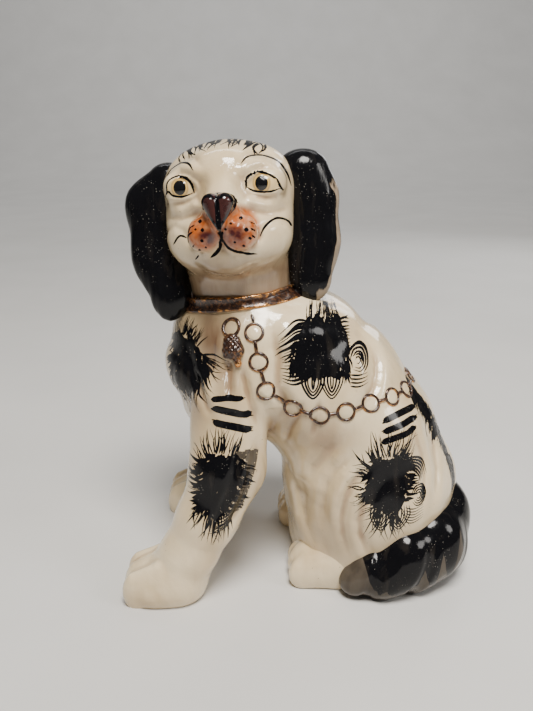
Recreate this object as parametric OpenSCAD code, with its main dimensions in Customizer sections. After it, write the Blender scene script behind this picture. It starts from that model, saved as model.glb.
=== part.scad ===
// Seated spaniel mantel figure in glazed earthenware.
// The display side faces -Y, the body looks towards -X and the head is turned to -Y.
// Origin: centre of the resting footprint, +Z up, millimetres.

/* [Figure] */
// Height from the table to the crown of the head
figure_h = 204; // [180:1:230]
// Thickness of the pressed clay wall
wall = 4; // [3:0.5:5]
// Turn of the head towards the chest side
head_yaw = 4; // [0:1:12]
// Sideways lean of the head
head_roll = 4; // [2:0.5:6]
// Upward tilt of the face
head_pitch = 12; // [8:1:15]

/* [Base] */
// Thickness of the slab that closes the base
slab_t = 4; // [3:0.5:6]
// Diameter of the vent hole in the slab
vent_d = 7; // [5:0.5:10]

/* [Collar and chain] */
// Height of the collar band
collar_h = 7; // [5:0.5:9]
// How far the collar stands out of the neck
collar_proud = 1.8; // [1:0.2:3]
// Outer diameter of a round chain link
link_d = 8.4; // [7:0.2:10]
// Thickness of the chain's relief
link_t = 1.8; // [1.4:0.1:2.2]

/* [Hidden] */

CREAM = [0.87, 0.81, 0.68];
BLACK = [0.03, 0.03, 0.04];
COPPER = [0.55, 0.30, 0.14];
NOSE_BROWN = [0.23, 0.08, 0.06];

s = figure_h / 204;          // every form below is drawn for a 204 mm figure
facets = 36;                 // facets of the outer forms
cavity_facets = 16;          // facets of the hidden cavity
leg_joint = [-37, 0, 56];    // point of the plane where the forelegs are luted to the shoulders
leg_joint_tilt = 22.3;       // slope of that plane, square to the forelegs
big = 300;                   // reach of the cutting blocks
lead = 0.15;                 // how far a cut-away runs into its neighbour

// An ellipsoid form is [centre, half sizes].
TRUNK = [
    [[-32,  -6, 165], [24.5, 22, 14]],
    [[-29,  -2, 134], [24, 26, 10]],
    [[-18,   0, 119], [42, 35, 19]],
    [[  6,   0,  92], [42, 38, 32]],
    [[ 26,   0,  68], [38, 42, 33]],
    [[ 33,   0,  42], [42, 45, 36]],
    [[ 34,   0,  12], [40, 43, 24]],
];
CHEST = [
    [[-18, 0, 119], [42, 35, 19]],
    [[-21, 0, 102], [45, 39, 28]],
    [[-38, 0,  84], [21, 26, 18]],
];
LEFT_THIGH = [
    [[20, -26, 52], [22, 18, 22]],
    [[19, -25, 34], [18, 15, 20]],
    [[23, -25, 16], [18, 14, 14]],
];
hind_step = [-4, 0, 0];      // how far the far thigh and hind foot stand ahead of the near ones
RIGHT_THIGH = [for (f = LEFT_THIGH) shifted(flip_y(f), hind_step)];
LEFT_LEG = [
    [[-34, -31, 90], [17, 13, 18]],
    [[-35, -37, 62], [16.5, 14, 16]],
    [[-44, -40, 40], [14, 12.5, 13]],
    [[-53, -41, 22], [13, 12, 12]],
    [[-60, -41, 9], [15, 13.5, 13]],
    [[-68, -41, 7], [14.8, 14.5, 12]],
];
TOE = [
    [[-65, -41, 10], [8, 4.8, 12]],
    [[-76, -41, 6.5], [7, 4.6, 10.5]],
];
TOE_SPREAD = [-8, 0, 8];
leg_step = [10, 0, 0];       // how far the far leg stands behind the near one
RIGHT_LEG = [for (f = LEFT_LEG) shifted(flip_y(f), leg_step)];
RIGHT_TOE = [for (f = TOE) shifted(flip_y(f), leg_step)];
LEFT_HIND_FOOT = [
    [[ 6, -27,  8], [12, 13, 11]],
    [[16, -28,  9], [13, 13, 14]],
    [[26, -28, 10], [14, 12, 16]],
];
RIGHT_HIND_FOOT = [for (f = LEFT_HIND_FOOT) shifted(flip_y(f), hind_step)];
TAIL = [
    [[67,  10, 30], [13, 14, 17]],
    [[67, -12, 24], [15, 15, 20]],
    [[60, -29, 19], [17, 14, 18]],
    [[47, -38, 16], [16, 12, 16]],
    [[34, -41, 11], [13, 10.5, 11]],
    [[24, -41, 7.5], [8, 8, 7.5]],
];
HEAD_C = [-33.5, -8, 176];
SKULL = [
    [[0,  2,   3], [28, 27, 24]],
    [[0, -6, -14], [27.3, 20, 19]],
];
TEMPLES = [
    [[-12, 5, 9], [16, 19, 15]],
    [[ 12, 5, 9], [16, 19, 15]],
];
BRIDGE = [
    [[0, -15,  7], [15, 11, 12]],
    [[0, -29, -5], [7.5, 8,  7]],
];
FLEWS = [
    [[-7, -28, -15], [8, 8.5, 8.5]],
    [[ 7, -28, -15], [8, 8.5, 8.5]],
];
CHIN = [
    [[0, -14, -19], [19, 13, 12]],
    [[0, -20, -22], [11,  9,  9]],
];
NOSE = [
    [[-2.8, -36.5,  -3], [3.8, 3.6, 4]],
    [[   0, -37.5, -11], [  3, 2.4, 4]],
    [[ 2.8, -36.5,  -3], [3.8, 3.6, 4]],
];
EYE = [[16.5, -17, 5], [7.5, 5, 5]];
EYE_BAG = [[17, -16, -2.5], [9, 4.5, 4.5]];
RIGHT_EAR = [
    [[-27.5, 5,  11], [10, 8.5,  9]],
    [[-37, 6,   1], [10, 7.5, 12]],
    [[-34, 5, -20], [11.5, 6.5, 15]],
    [[-29.5, 2, -37], [9.5, 6, 13]],
];
LEFT_EAR = [
    [[32, 5,  12], [12, 8.5, 10]],
    [[36, 6,   1], [10.5, 7.5, 12]],
    [[35, 6, -18], [11.5, 6.5, 14]],
    [[33.5, 5, -33], [9.5, 6, 12]],
];

// Footprint of the slab that closes the base
slab_c = [33, 0];
slab_r = [29, 32];
slab_points = 40;

// Route of the chain over the near flank, as [x, z] of each round link's centre
CHAIN = [[-22.8, 125.5], [-21, 113.5], [-17.3, 101], [-6.5, 92], [5.5, 89],
         [17, 90.5], [28, 93], [38.4, 94], [46.2, 94.4], [50.2, 95.6]];

// Centre of the collar, its inner half widths, its slope about X and Y, and its seat depth
collar_c = [-29.5, -2, 135];
collar_r = [24.6, 26.4];
collar_slope = [-2, -7.5];
collar_seat = 0.6;

// Padlock: places on the near flank as [x, z], and sizes
ring_at = [-32.4, 126.6];
ring_d = 9;
lock_at = [-31.7, 119];
lock_d = 9.5;
lock_t = 3.6;
lock_dome_r = 5.6;
drop_at = [-29.6, 112.6];
drop_d = 3.4;
joiner_d = 1.6;
joiner_clear = 0.1;

function form(f, grow) = [f[0] * s, [for (r = f[1]) max(r * s + grow, 1)]];
function flip_y(f) = [[f[0].x, -f[0].y, f[0].z], f[1]];
function shifted(f, d) = [f[0] + d, f[1]];
function between(a, b, t) = a * (1 - t) + b * t;
function mid_form(f, g, t) = [between(f[0], g[0], t), between(f[1], g[1], t)];

// The near surface of the body at the point [x, z]: the lowest y of its swept ellipsoids.
function ellipsoid_y(f, p) =
    let (u = (p.x - f[0].x) / f[1].x, w = (p[1] - f[0].z) / f[1].z, d = 1 - u * u - w * w)
    d > 0 ? f[0].y - f[1].y * sqrt(d) : f[0].y;
function flank_y(p) =
    min([for (forms = [TRUNK, CHEST], i = [0 : len(forms) - 2], t = [0 : 0.125 : 1])
        ellipsoid_y(mid_form(forms[i], forms[i + 1], t), p)]);
function on_flank(p) = [p.x, flank_y(p), p[1]];
// Outward direction of the flank there, from the slopes of its surface
function flank_normal(p, e = 1) =
    let (dx = (flank_y(p + [e, 0]) - flank_y(p - [e, 0])) / (2 * e),
         dz = (flank_y(p + [0, e]) - flank_y(p - [0, e])) / (2 * e),
         n = [dx, -1, dz])
    n / norm(n);

module ellipsoid(f, fn) {
    translate(f[0]) scale(f[1]) sphere(1, $fn = fn);
}

// A body swept through its forms: each neighbouring pair is hulled.
module chain_hull(forms, grow = 0, fn = facets) {
    for (i = [0 : len(forms) - 2])
        hull() {
            ellipsoid(form(forms[i], grow), fn);
            ellipsoid(form(forms[i + 1], grow), fn);
        }
}

module above(z) {
    translate([-big, -big, z]) cube([2 * big, 2 * big, big]);
}

module below(z) {
    translate([-big, -big, z - big]) cube([2 * big, 2 * big, big]);
}

// The collar's own plane, which is also the joint where the head is luted to the neck
module collar_pose() {
    translate(collar_c * s) rotate([collar_slope.x, collar_slope.y, 0]) children();
}

module head_pose() {
    translate(HEAD_C * s) rotate([-head_pitch, -head_roll, -head_yaw]) children();
}

// The half space on the display side of a seam, through the origin
module display_side() {
    translate([-big, -2 * big, -big]) cube([2 * big, 2 * big, 2 * big]);
}

module head_seam() {
    translate(HEAD_C * s) rotate([0, 0, -head_yaw]) children();
}

module leg_joint_pose() {
    translate(leg_joint * s) rotate([0, leg_joint_tilt, 0]) children();
}

// The upper forelegs, which are pressed with the body
module shoulders(grow, fn) {
    for (leg = [LEFT_LEG, RIGHT_LEG])
        difference() {
            chain_hull([leg[0], leg[1], leg[2]], grow, fn);
            leg_joint_pose() below(0);
        }
}

module trunk_solid(grow = 0, fn = facets) {
    chain_hull(TRUNK, grow, fn);
    chain_hull(CHEST, grow, fn);
    chain_hull(LEFT_THIGH, grow, fn);
    chain_hull(RIGHT_THIGH, grow, fn);
    shoulders(grow, fn);
}

module head_solid(grow = 0, fn = facets) {
    head_pose() {
        chain_hull(SKULL, grow, fn);
        chain_hull(TEMPLES, grow, fn);
        chain_hull(BRIDGE, grow, fn);
        chain_hull(FLEWS, grow, fn);
        chain_hull(CHIN, grow, fn);
    }
}

module slab_outline() {
    polygon([for (i = [0 : slab_points - 1])
        let (a = 360 * i / slab_points)
        [(slab_c.x + slab_r.x * cos(a)) * s, (slab_c.y + slab_r.y * sin(a)) * s]]);
}

module trunk_shell() {
    difference() {
        trunk_solid();
        chain_hull(TRUNK, -wall, cavity_facets);
        chain_hull(CHEST, -wall, cavity_facets);
        translate([0, 0, -1]) linear_extrude(slab_t + 1) slab_outline();
        collar();
        collar_pose() above(0);
        below(0);
    }
}

module head_shell() {
    difference() {
        union() {
            head_solid();
            chain_hull([TRUNK[0], TRUNK[1]]);
            head_pose() {
                chain_hull(NOSE, 0, 20);
                for (side = [0, 1])
                    mirror([side, 0, 0]) {
                        ellipsoid(form(EYE, 0), 24);
                        ellipsoid(form(EYE_BAG, 0), 20);
                    }
            }
        }
        head_pose() chain_hull(SKULL, -wall, cavity_facets);
        chain_hull([TRUNK[0], TRUNK[1]], -wall, cavity_facets);
        collar();
        collar_pose() below(0);
    }
}

module body_front_shell() {
    color(CREAM) intersection() {
        trunk_shell();
        display_side();
    }
}

module body_back_shell() {
    color(CREAM) difference() {
        trunk_shell();
        display_side();
    }
}

module face_shell() {
    color(CREAM) intersection() {
        head_shell();
        head_seam() display_side();
    }
}

module head_back_shell() {
    color(CREAM) difference() {
        head_shell();
        head_seam() display_side();
    }
}

// An ear hangs from the side of the head and rests against the neck.
module ear(forms) {
    color(BLACK) difference() {
        head_pose() chain_hull(forms, 0, 28);
        head_solid(lead);
        trunk_solid(lead);
        collar();
    }
}

module foreleg(forms, toe) {
    color(CREAM) difference() {
        union() {
            chain_hull(forms, 0, 30);
            for (dy = TOE_SPREAD)
                chain_hull([for (f = toe) shifted(f, [0, dy, 0])], 0, 22);
        }
        leg_joint_pose() above(0);
        below(0);
    }
}

module hind_foot(forms) {
    color(CREAM) difference() {
        chain_hull(forms, 0, 26);
        trunk_solid(lead);
        below(0);
    }
}

module tail() {
    color(BLACK) difference() {
        chain_hull(TAIL, 0, 30);
        trunk_solid(lead);
        below(0);
    }
}

module base_slab() {
    color(CREAM) difference() {
        linear_extrude(slab_t) slab_outline();
        translate([slab_c.x * s, slab_c.y * s, -1]) cylinder(h = slab_t + 2, d = vent_d, $fn = 48);
    }
}

module ellipse(r, n) {
    polygon([for (i = [0 : n - 1]) let (a = 360 * i / n) [r.x * cos(a), r.y * sin(a)]]);
}

// The strap, a plain band seated a little way into the neck
module collar() {
    color(COPPER) collar_pose()
        translate([0, 0, -collar_h / 2]) linear_extrude(collar_h) difference() {
            ellipse(collar_r * s + [collar_proud, collar_proud], 48);
            ellipse(collar_r * s - [collar_seat, collar_seat], 48);
        }
}

// Sets children on the near flank over the point [x, z], their +Z along its outward direction.
module on_flank_pose(p) {
    n = flank_normal(p);
    translate(on_flank(p) * s) rotate([0, acos(n.z), atan2(n.y, n.x)]) children();
}

module ring(d, t) {
    rotate_extrude($fn = 48) translate([(d - t) / 2, 0]) circle(d = t, $fn = 24);
}

module padlock_ring() {
    color(COPPER) on_flank_pose(ring_at) ring(ring_d, link_t);
}

// A round lock with a domed face and a small drop below it
module padlock() {
    color(COPPER) {
        on_flank_pose(lock_at)
            rotate_extrude($fn = 48)
                intersection() {
                    translate([0, lock_t - lock_dome_r]) circle(r = lock_dome_r, $fn = 96);
                    square([lock_d / 2, lock_t]);
                }
        on_flank_pose(drop_at) translate([0, 0, 1]) sphere(d = drop_d, $fn = 32);
    }
}

module chain_links() {
    color(COPPER)
        for (p = CHAIN) on_flank_pose(p) ring(link_d, link_t);
}

// The links seen edge on, each a short bar between two round links
module chain_joiners() {
    color(COPPER)
        for (i = [0 : len(CHAIN) - 2]) {
            a = on_flank(CHAIN[i]);
            b = on_flank(CHAIN[i + 1]);
            gap = norm(b - a) - link_d / s - joiner_clear;
            mid = (CHAIN[i] + CHAIN[i + 1]) / 2;
            d = (b - a) / norm(b - a);
            translate(on_flank(mid) * s) rotate([0, acos(d.z), atan2(d.y, d.x)])
                cylinder(h = gap * s, d = joiner_d, center = true, $fn = 24);
        }
}

body_front_shell();
body_back_shell();
face_shell();
head_back_shell();
ear(RIGHT_EAR);  // right_ear
ear(LEFT_EAR);  // left_ear
foreleg(LEFT_LEG, TOE);  // left_foreleg
foreleg(RIGHT_LEG, RIGHT_TOE);  // right_foreleg
hind_foot(LEFT_HIND_FOOT);  // left_hind_foot
hind_foot(RIGHT_HIND_FOOT);  // right_hind_foot
tail();
base_slab();
collar();
padlock();
padlock_ring();
chain_links();
chain_joiners();
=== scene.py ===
"""Looks of a seated spaniel mantel figure in glazed earthenware.

The clay is sculpted as distance fields in millimetres, from the same round forms as the CAD part,
then meshed, cut at the same joints into hollow shells and solid limbs, and painted with enamel.
"""

import math

import bmesh
import bpy
import numpy as np
from mathutils import Matrix, Vector
from mathutils.bvhtree import BVHTree


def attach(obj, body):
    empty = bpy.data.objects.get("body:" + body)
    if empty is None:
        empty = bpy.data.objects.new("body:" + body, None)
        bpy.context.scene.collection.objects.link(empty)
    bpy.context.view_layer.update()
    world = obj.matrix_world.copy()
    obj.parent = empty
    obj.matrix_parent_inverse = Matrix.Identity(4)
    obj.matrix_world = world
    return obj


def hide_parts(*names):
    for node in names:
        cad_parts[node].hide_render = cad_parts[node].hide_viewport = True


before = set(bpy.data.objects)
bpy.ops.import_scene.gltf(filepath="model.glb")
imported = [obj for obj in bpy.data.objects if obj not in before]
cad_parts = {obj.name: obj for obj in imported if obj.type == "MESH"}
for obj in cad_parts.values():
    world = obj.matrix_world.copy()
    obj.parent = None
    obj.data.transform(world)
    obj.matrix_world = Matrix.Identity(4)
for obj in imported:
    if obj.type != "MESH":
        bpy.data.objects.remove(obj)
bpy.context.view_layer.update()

MM = 0.001
BODY_STEP = 0.95       # mesh spacing of the trunk and limbs, mm
HEAD_STEP = 0.6        # mesh spacing of the head and ears, mm
CAVITY_STEP = 2.6                        # mesh spacing of the hidden hollow, mm
WALL = 4.0                               # thickness of the pressed clay
JOIN_DEPTH = 1.5                         # how far an applied limb runs under its neighbour


# ---------------------------------------------------------------- forms, as in the CAD part, mm

def forms(*rows):
    """Ellipsoid forms, each (centre, half sizes)."""
    return [(np.array(c, np.float32), np.array(h, np.float32)) for c, h in rows]


TRUNK = forms(
    ((-32, -6, 165), (24.5, 22, 14)),
    ((-29, -2, 134), (24, 26, 10)),
    ((-18, 0, 119), (42, 35, 19)),
    ((6, 0, 92), (42, 38, 32)),
    ((26, 0, 68), (38, 42, 33)),
    ((33, 0, 42), (42, 45, 36)),
    ((34, 0, 12), (40, 43, 24)),
)
CHEST = forms(
    ((-18, 0, 119), (42, 35, 19)),
    ((-21, 0, 102), (45, 39, 28)),
    ((-38, 0, 84), (21, 26, 18)),
)
THIGH = forms(
    ((20, -26, 52), (22, 18, 22)),
    ((19, -25, 34), (18, 15, 20)),
    ((23, -25, 16), (18, 14, 14)),
)
LEG = forms(
    ((-34, -31, 90), (17, 13, 18)),
    ((-35, -37, 62), (16.5, 14, 16)),
    ((-44, -40, 40), (14, 12.5, 13)),
    ((-53, -41, 22), (13, 12, 12)),
    ((-60, -41, 9), (15, 13.5, 13)),
    ((-68, -41, 7), (14.8, 14.5, 12)),
)
TOE = forms(
    ((-65, -41, 10), (8, 4.8, 12)),
    ((-76, -41, 6.5), (7, 4.6, 10.5)),
)
TOE_SPREAD = (-8, 0, 8)
LEG_STEP = 10                            # the far foreleg stands this much further back
LEG_JOINT = (-37, 0, 56)                 # point and slope of the plane where forelegs are luted on
LEG_JOINT_TILT = (0, 22.3, 0)
LEG_REAR = -9                            # all clay below that plane, ahead of this
LEG_INNER = 12                           # and this far from the middle is foreleg, not belly
HIND_FOOT = forms(
    ((6, -27, 8), (12, 13, 11)),
    ((16, -28, 9), (13, 13, 14)),
    ((26, -28, 10), (14, 12, 16)),
)
HIND_STEP = -4                           # the far thigh and hind foot stand this much ahead
TAIL = forms(
    ((67, 10, 30), (13, 14, 17)),
    ((67, -12, 24), (15, 15, 20)),
    ((60, -29, 19), (17, 14, 18)),
    ((47, -38, 16), (16, 12, 16)),
    ((34, -41, 11), (13, 10.5, 11)),
    ((24, -41, 7.5), (8, 8, 7.5)),
)
SLAB_C = (33, 0)
SLAB_R = (29, 32)
SLAB_T = 4

HEAD_C = np.array((-33.5, -8, 176), np.float32)
HEAD_TURN = (-12, -4, -4)                # degrees about X, then Y, then Z
SKULL = forms(((0, 2, 3), (28, 27, 24)), ((0, -6, -14), (27.3, 20, 19)))
TEMPLE = forms(((-12, 5, 9), (16, 19, 15)), ((12, 5, 9), (16, 19, 15)))
BRIDGE = forms(((0, -15, 7), (15, 11, 12)), ((0, -29, -5), (7.5, 8, 7)))
CHIN = forms(((0, -14, -19), (19, 13, 12)), ((0, -20, -22), (11, 9, 9)))
FLEW = forms(((6.8, -27.5, -15.5), (7.5, 8, 8.5)), ((2, -30, -12), (5, 6.5, 8)))
NOSE = forms(((2.6, -36, -3.6), (3.8, 4.2, 3.6)), ((0.6, -36.5, -11), (2.6, 3.4, 4)))
SOCKET = forms(((14.5, -28, 4), (7.5, 5.5, 7)), ((20, -24.5, 3.5), (9, 5.5, 7.5)))
EYEBALL = forms(((16.4, -13.2, 4.8), (8.6, 8.8, 6.6)), ((17.2, -13.2, 4.8), (8.6, 8.8, 6.6)))
RIGHT_EAR = forms(
    ((-27.5, 5, 11), (10, 8.5, 9)),
    ((-37, 6, 1), (10, 7.5, 12)),
    ((-34, 5, -20), (11.5, 6.5, 15)),
    ((-29.5, 2, -37), (9.5, 6, 13)),
)
LEFT_EAR = forms(
    ((32, 5, 12), (12, 8.5, 10)),
    ((36, 6, 1), (10.5, 7.5, 12)),
    ((35, 6, -18), (11.5, 6.5, 14)),
    ((33.5, 5, -33), (9.5, 6, 12)),
)

COLLAR_C = np.array((-29.5, -2, 135), np.float32)
COLLAR_SLOPE = (-2, -7.5, 0)             # degrees about X, then Y
COLLAR_H = 7
CHAIN = ((-22.8, 125.5), (-21, 113.5), (-17.3, 101), (-6.5, 92), (5.5, 89),
         (17, 90.5), (28, 93), (38.4, 94), (46.2, 94.4), (50.2, 95.6))


def turn(degrees):
    """Rotation about X, then Y, then Z, as a matrix."""
    x, y, z = (Matrix.Rotation(math.radians(a), 3, n) for a, n in zip(degrees, "XYZ"))
    return np.array(z @ y @ x, np.float32)


HEAD_M = turn(HEAD_TURN)
COLLAR_M = turn(COLLAR_SLOPE)


# ---------------------------------------------------------------- distance fields

def swept(p, a, b):
    """Distance to the round form swept from ellipsoid a to ellipsoid b."""
    axis = b[0] - a[0]
    t = np.clip((p - a[0]) @ axis / (axis @ axis), 0, 1)[:, None]
    q = p - a[0] - t * axis
    r = a[1] + t * (b[1] - a[1])
    q /= r
    k0 = np.sqrt(np.einsum("ij,ij->i", q, q))
    q /= r
    k1 = np.sqrt(np.einsum("ij,ij->i", q, q))
    return k0 * (k0 - 1) / np.maximum(k1, 1e-6)


def merge(a, b, k):
    """Smooth union, rounding the join over k mm."""
    h = np.maximum(k - np.abs(a - b), 0) / k
    return np.minimum(a, b) - h * h * k / 4


def carve(a, b, k):
    """a with b taken out of it, the edge rounded over k mm."""
    return -merge(-a, b, k)


def chained(p, chain, k):
    """A body swept through its forms."""
    d = swept(p, chain[0], chain[1])
    for a, b in zip(chain[1:-1], chain[2:]):
        d = merge(d, swept(p, a, b), k)
    return d


def shrunk(chain, by):
    return [(c, np.maximum(h - by, 1)) for c, h in chain]


def ripples(p, lengths, count, seed):
    """Smooth noise of about -1 to 1: plane waves with the given wavelength along each axis, mm."""
    rng = np.random.default_rng(seed)
    total = np.zeros(len(p), np.float32)
    for _ in range(count):
        way = rng.normal(size=3)
        way /= np.linalg.norm(way)
        k = (2 * math.pi * way / lengths).astype(np.float32)
        total += np.sin(p @ k + rng.uniform(0, 2 * math.pi))
    return total / math.sqrt(count)


def ramp(x, low, high):
    """0 below low, 1 above high, smooth between."""
    t = np.clip((x - low) / (high - low), 0, 1)
    return t * t * (3 - 2 * t)


def stepped(p, step):
    """Points folded onto the near limb; the far one stands a step along x."""
    q = p * np.where(p[:, 1:2] > 0, np.float32([1, -1, 1]), np.float32([1, 1, 1]))
    q[:, 0] -= np.where(p[:, 1] > 0, step, 0)
    return q


def eased(route, count):
    """Points spread along a smooth curve through the given ones."""
    route = np.array(route, float)
    if len(route) == 2:
        return route[0] + np.linspace(0, 1, count)[:, None] * (route[1] - route[0])
    ends = np.concatenate([[2 * route[0] - route[1]], route, [2 * route[-1] - route[-2]]])
    place = np.linspace(0, len(route) - 1 - 1e-9, count)
    i = place.astype(int)
    t = (place - i)[:, None]
    a, b, c, d = (ends[i + k] for k in range(4))
    return 0.5 * (2 * b + (c - a) * t + (2 * a - 5 * b + 4 * c - d) * t ** 2
                  + (3 * b - a - 3 * c + d) * t ** 3)


# Moulded folds of the near side as (width, depth, points [x, z]).
FOLDS = tuple((width, depth, eased(route, 2 * len(route) - 1)) for width, depth, route in (
    (2.0, 1.2, ((-33.4, 116), (-32.8, 109), (-33, 103), (-34, 97))),
    (2.2, 1.3, ((-29.4, 117), (-27, 104), (-24, 92), (-20.5, 80))),
    (3.6, 2.0, ((-17, 134), (-14, 122), (-12.4, 113), (-12.7, 102), (-9, 93), (-12, 78))),
    (3.4, 1.6, ((17, 128), (26, 118), (30, 111), (30.6, 104), (27, 95), (17, 86))),
    (2.4, 1.0, ((-2, 97), (-3, 90), (-7, 80), (-9, 66))),
    (2.2, 0.9, ((6, 98), (4, 88), (2, 76))),
    (4.4, 2.0, ((27, 86), (10, 71), (3, 54), (4, 39), (9, 24), (18, 10))),
    (3.8, 1.2, ((-4, 60), (-2, 47), (0.5, 34), (4, 24), (10, 11))),
    (3.4, 1.8, ((27, 78), (14, 64), (9, 50), (9.5, 37), (16, 16))),
    (3.2, 1.7, ((30, 72), (20, 58), (16.5, 45), (17, 32), (24, 13))),
    (3.0, 1.4, ((32, 62), (25, 47), (24.5, 34), (31, 16))),
    (2.6, 1.0, ((50, 92), (57, 74), (60, 58), (57, 38))),
    (2.2, 0.8, ((44, 90), (50, 74), (54, 60), (52, 40))),
    (2.2, 0.9, ((-21, 84), (-24, 66), (-29, 50), (-38, 34))),
    (2.0, 0.8, ((-30, 86), (-31, 68), (-38, 48), (-48, 32))),
    (2.2, 1.0, ((-52, 118), (-50, 106), (-44, 96), (-40, 88))),
))


def from_route(x, z, route):
    """Distance of each point from a bent line, and how far along it the nearest place is, 0 to 1."""
    away = np.full(len(x), 1e3, np.float32)
    along = np.zeros(len(x), np.float32)
    for i, ((ax, az), (bx, bz)) in enumerate(zip(route, route[1:])):
        dx, dz = bx - ax, bz - az
        t = np.clip(((x - ax) * dx + (z - az) * dz) / (dx * dx + dz * dz), 0, 1)
        gap = np.hypot(x - ax - t * dx, z - az - t * dz)
        along = np.where(gap < away, (i + t) / (len(route) - 1), along)
        away = np.minimum(away, gap)
    return away, along


def fold_relief(p):
    """Depth of the drawn folds: narrow valleys with a soft bank on each side."""
    x, z = p[:, 0], p[:, 2]
    total = np.zeros(len(p), np.float32)
    for width, depth, route in FOLDS:
        away, along = from_route(x, z, route)
        across = away / width
        fade = np.minimum(ramp(along, 0, 0.3), ramp(1 - along, 0, 0.3))
        valley = 1.25 * np.exp(-across ** 2) - 0.4 * np.exp(-(across - 1.6) ** 2)
        total += depth * fade * valley
    links = np.zeros(len(p), np.float32)
    for u, v in CHAIN:
        links += 0.55 * np.exp(-(np.hypot(x - u, z - v) / 2.7) ** 4)
    return (total - links) * ramp(-p[:, 1], 10, 24)


def fur_relief(p):
    """Height of the pressed fur: long hanging locks parted by creases."""
    q = p.copy()
    q[:, 0] += 0.16 * p[:, 2] + 3.5 * np.sin(p[:, 2] / 17) + 2 * np.sin(p[:, 1] / 13)
    broad = ripples(q, (22, 26, 120), 7, 3)
    fine = ripples(q, (10, 13, 60), 7, 8)
    crease = np.exp(-(broad / 0.35) ** 2)
    height = 0.45 * broad + 0.1 * fine - 0.3 * crease
    low_leg = 1 - 0.7 * ramp(-p[:, 0], 30, 48) * ramp(-p[:, 2], -55, -35)
    return height * low_leg * ramp(p[:, 2], 2, 14)


def body_field(p):
    d = merge(chained(p, TRUNK, 5), chained(p, CHEST, 5), 7)
    d = merge(d, chained(stepped(p, HIND_STEP), THIGH, 5), 8)
    leg = stepped(p, LEG_STEP)
    limb = chained(leg, LEG, 4)
    for y in TOE_SPREAD:
        limb = merge(limb, chained(leg - np.float32([0, y, 0]), TOE, 2), 1.6)
    d = merge(d, limb, 4)
    return d - fur_relief(p) + fold_relief(p)


def cavity_field(p):
    """The hollow inside the body, open below where the slab closes it."""
    d = np.minimum(chained(p, shrunk(TRUNK, WALL), 3), chained(p, shrunk(CHEST, WALL), 3))
    across = np.hypot((p[:, 0] - SLAB_C[0]) / SLAB_R[0], (p[:, 1] - SLAB_C[1]) / SLAB_R[1]) - 1
    seat = np.maximum(across * min(SLAB_R), p[:, 2] - SLAB_T)
    above_seat = np.maximum(d, SLAB_T - 0.5 - p[:, 2])
    return np.minimum(above_seat, seat)


def hind_foot_field(p, side):
    q = p * np.float32([1, -side, 1])
    q[:, 0] -= HIND_STEP if side > 0 else 0
    d = chained(q, HIND_FOOT, 3)
    for y in TOE_SPREAD:
        toe = forms(((0, -27 + y, 6), (7, 4.8, 8)), ((7, -27 + y, 8), (8, 4.8, 9)))
        d = merge(d, swept(q, *toe), 3)
    d = np.maximum(d, -p[:, 2])
    return np.maximum(d, -body_field(p) - JOIN_DEPTH)


def tail_field(p):
    d = chained(p, TAIL, 5)
    around = np.arctan2(p[:, 2] - 16, np.hypot(p[:, 0] - 34, p[:, 1]))
    sweep = np.arctan2(-p[:, 1], p[:, 0] - 30)
    locks = np.sin(sweep * 15 + 2.2 * np.sin(around * 2.4) + 0.8)
    d = d + 0.9 * np.exp(-((locks + 1) / 0.45) ** 2) * ramp(-p[:, 2], -34, -18) - 0.25 * locks
    d = np.maximum(d, -p[:, 2])
    return np.maximum(d, -body_field(p) - JOIN_DEPTH)


def head_local(p):
    return (p - HEAD_C) @ HEAD_M


def head_field(p):
    q = head_local(p)
    half = q * np.where(q[:, :1] < 0, np.float32([-1, 1, 1]), np.float32([1, 1, 1]))
    d = merge(swept(q, *SKULL), swept(q, *TEMPLE), 5)
    d = merge(d, swept(q, *CHIN), 6)
    d = merge(d, swept(q, *BRIDGE), 7)
    d = carve(d, swept(half, *SOCKET), 6)
    d = merge(d, swept(half, *EYEBALL), 2)
    d = d - face_relief(half)
    d = merge(d, swept(half, *FLEW), 1.8)
    d = carve(d, chained(half, MOUTH_GROOVE, 1), 1.6)
    d = merge(d, swept(half, *NOSE), 1.2)
    d = carve(d, chained(half, JAW_CREASE, 1), 2.5)
    return merge(d, swept(p, TRUNK[0], TRUNK[1]), 4)


# Modelling of the face as (width, height, points [x, z]) on one half; the other half mirrors it.
FACE_LINES = (
    (1.0, 0.75, ((8.9, 1.2), (10.4, 5.8), (13.4, 8.6), (17, 9.6), (21.4, 7.6), (25.2, 1.6))),
    (3.0, 1.5, ((8, 6), (11.5, 11.6), (16.8, 13.6), (22.4, 11.6), (27.5, 5))),
    (1.5, -0.8, ((6, 11), (11, 16.8), (17, 18.3), (23.4, 16), (29, 9))),
    (0.9, 0.5, ((8.9, 3), (12.5, 1), (16.8, 0.2), (20.8, 0.6), (25.2, 2.8))),
    (2.6, 1.3, ((9, -0.6), (13, -2.8), (17.5, -3.4), (22, -2.4), (26, 0.4))),
    (2.0, -0.65, ((9, -3.4), (13, -6.6), (17.6, -7.6), (22.4, -6.2), (27, -3))),
    (1.6, -0.6, ((12.6, -22), (14.6, -17), (17.2, -12.4), (21.4, -10), (26, -11), (29, -16))),
)


def face_relief(q):
    """Height of the lids, brows and bags on the front of the head."""
    total = np.zeros(len(q), np.float32)
    for width, height, route in FACE_LINES:
        away, along = from_route(q[:, 0], q[:, 2], route)
        fade = np.minimum(ramp(along, 0, 0.22), ramp(1 - along, 0, 0.22))
        total += height * fade * np.exp(-(away / width) ** 2)
    return total * ramp(-q[:, 1], 3, 10)


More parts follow.
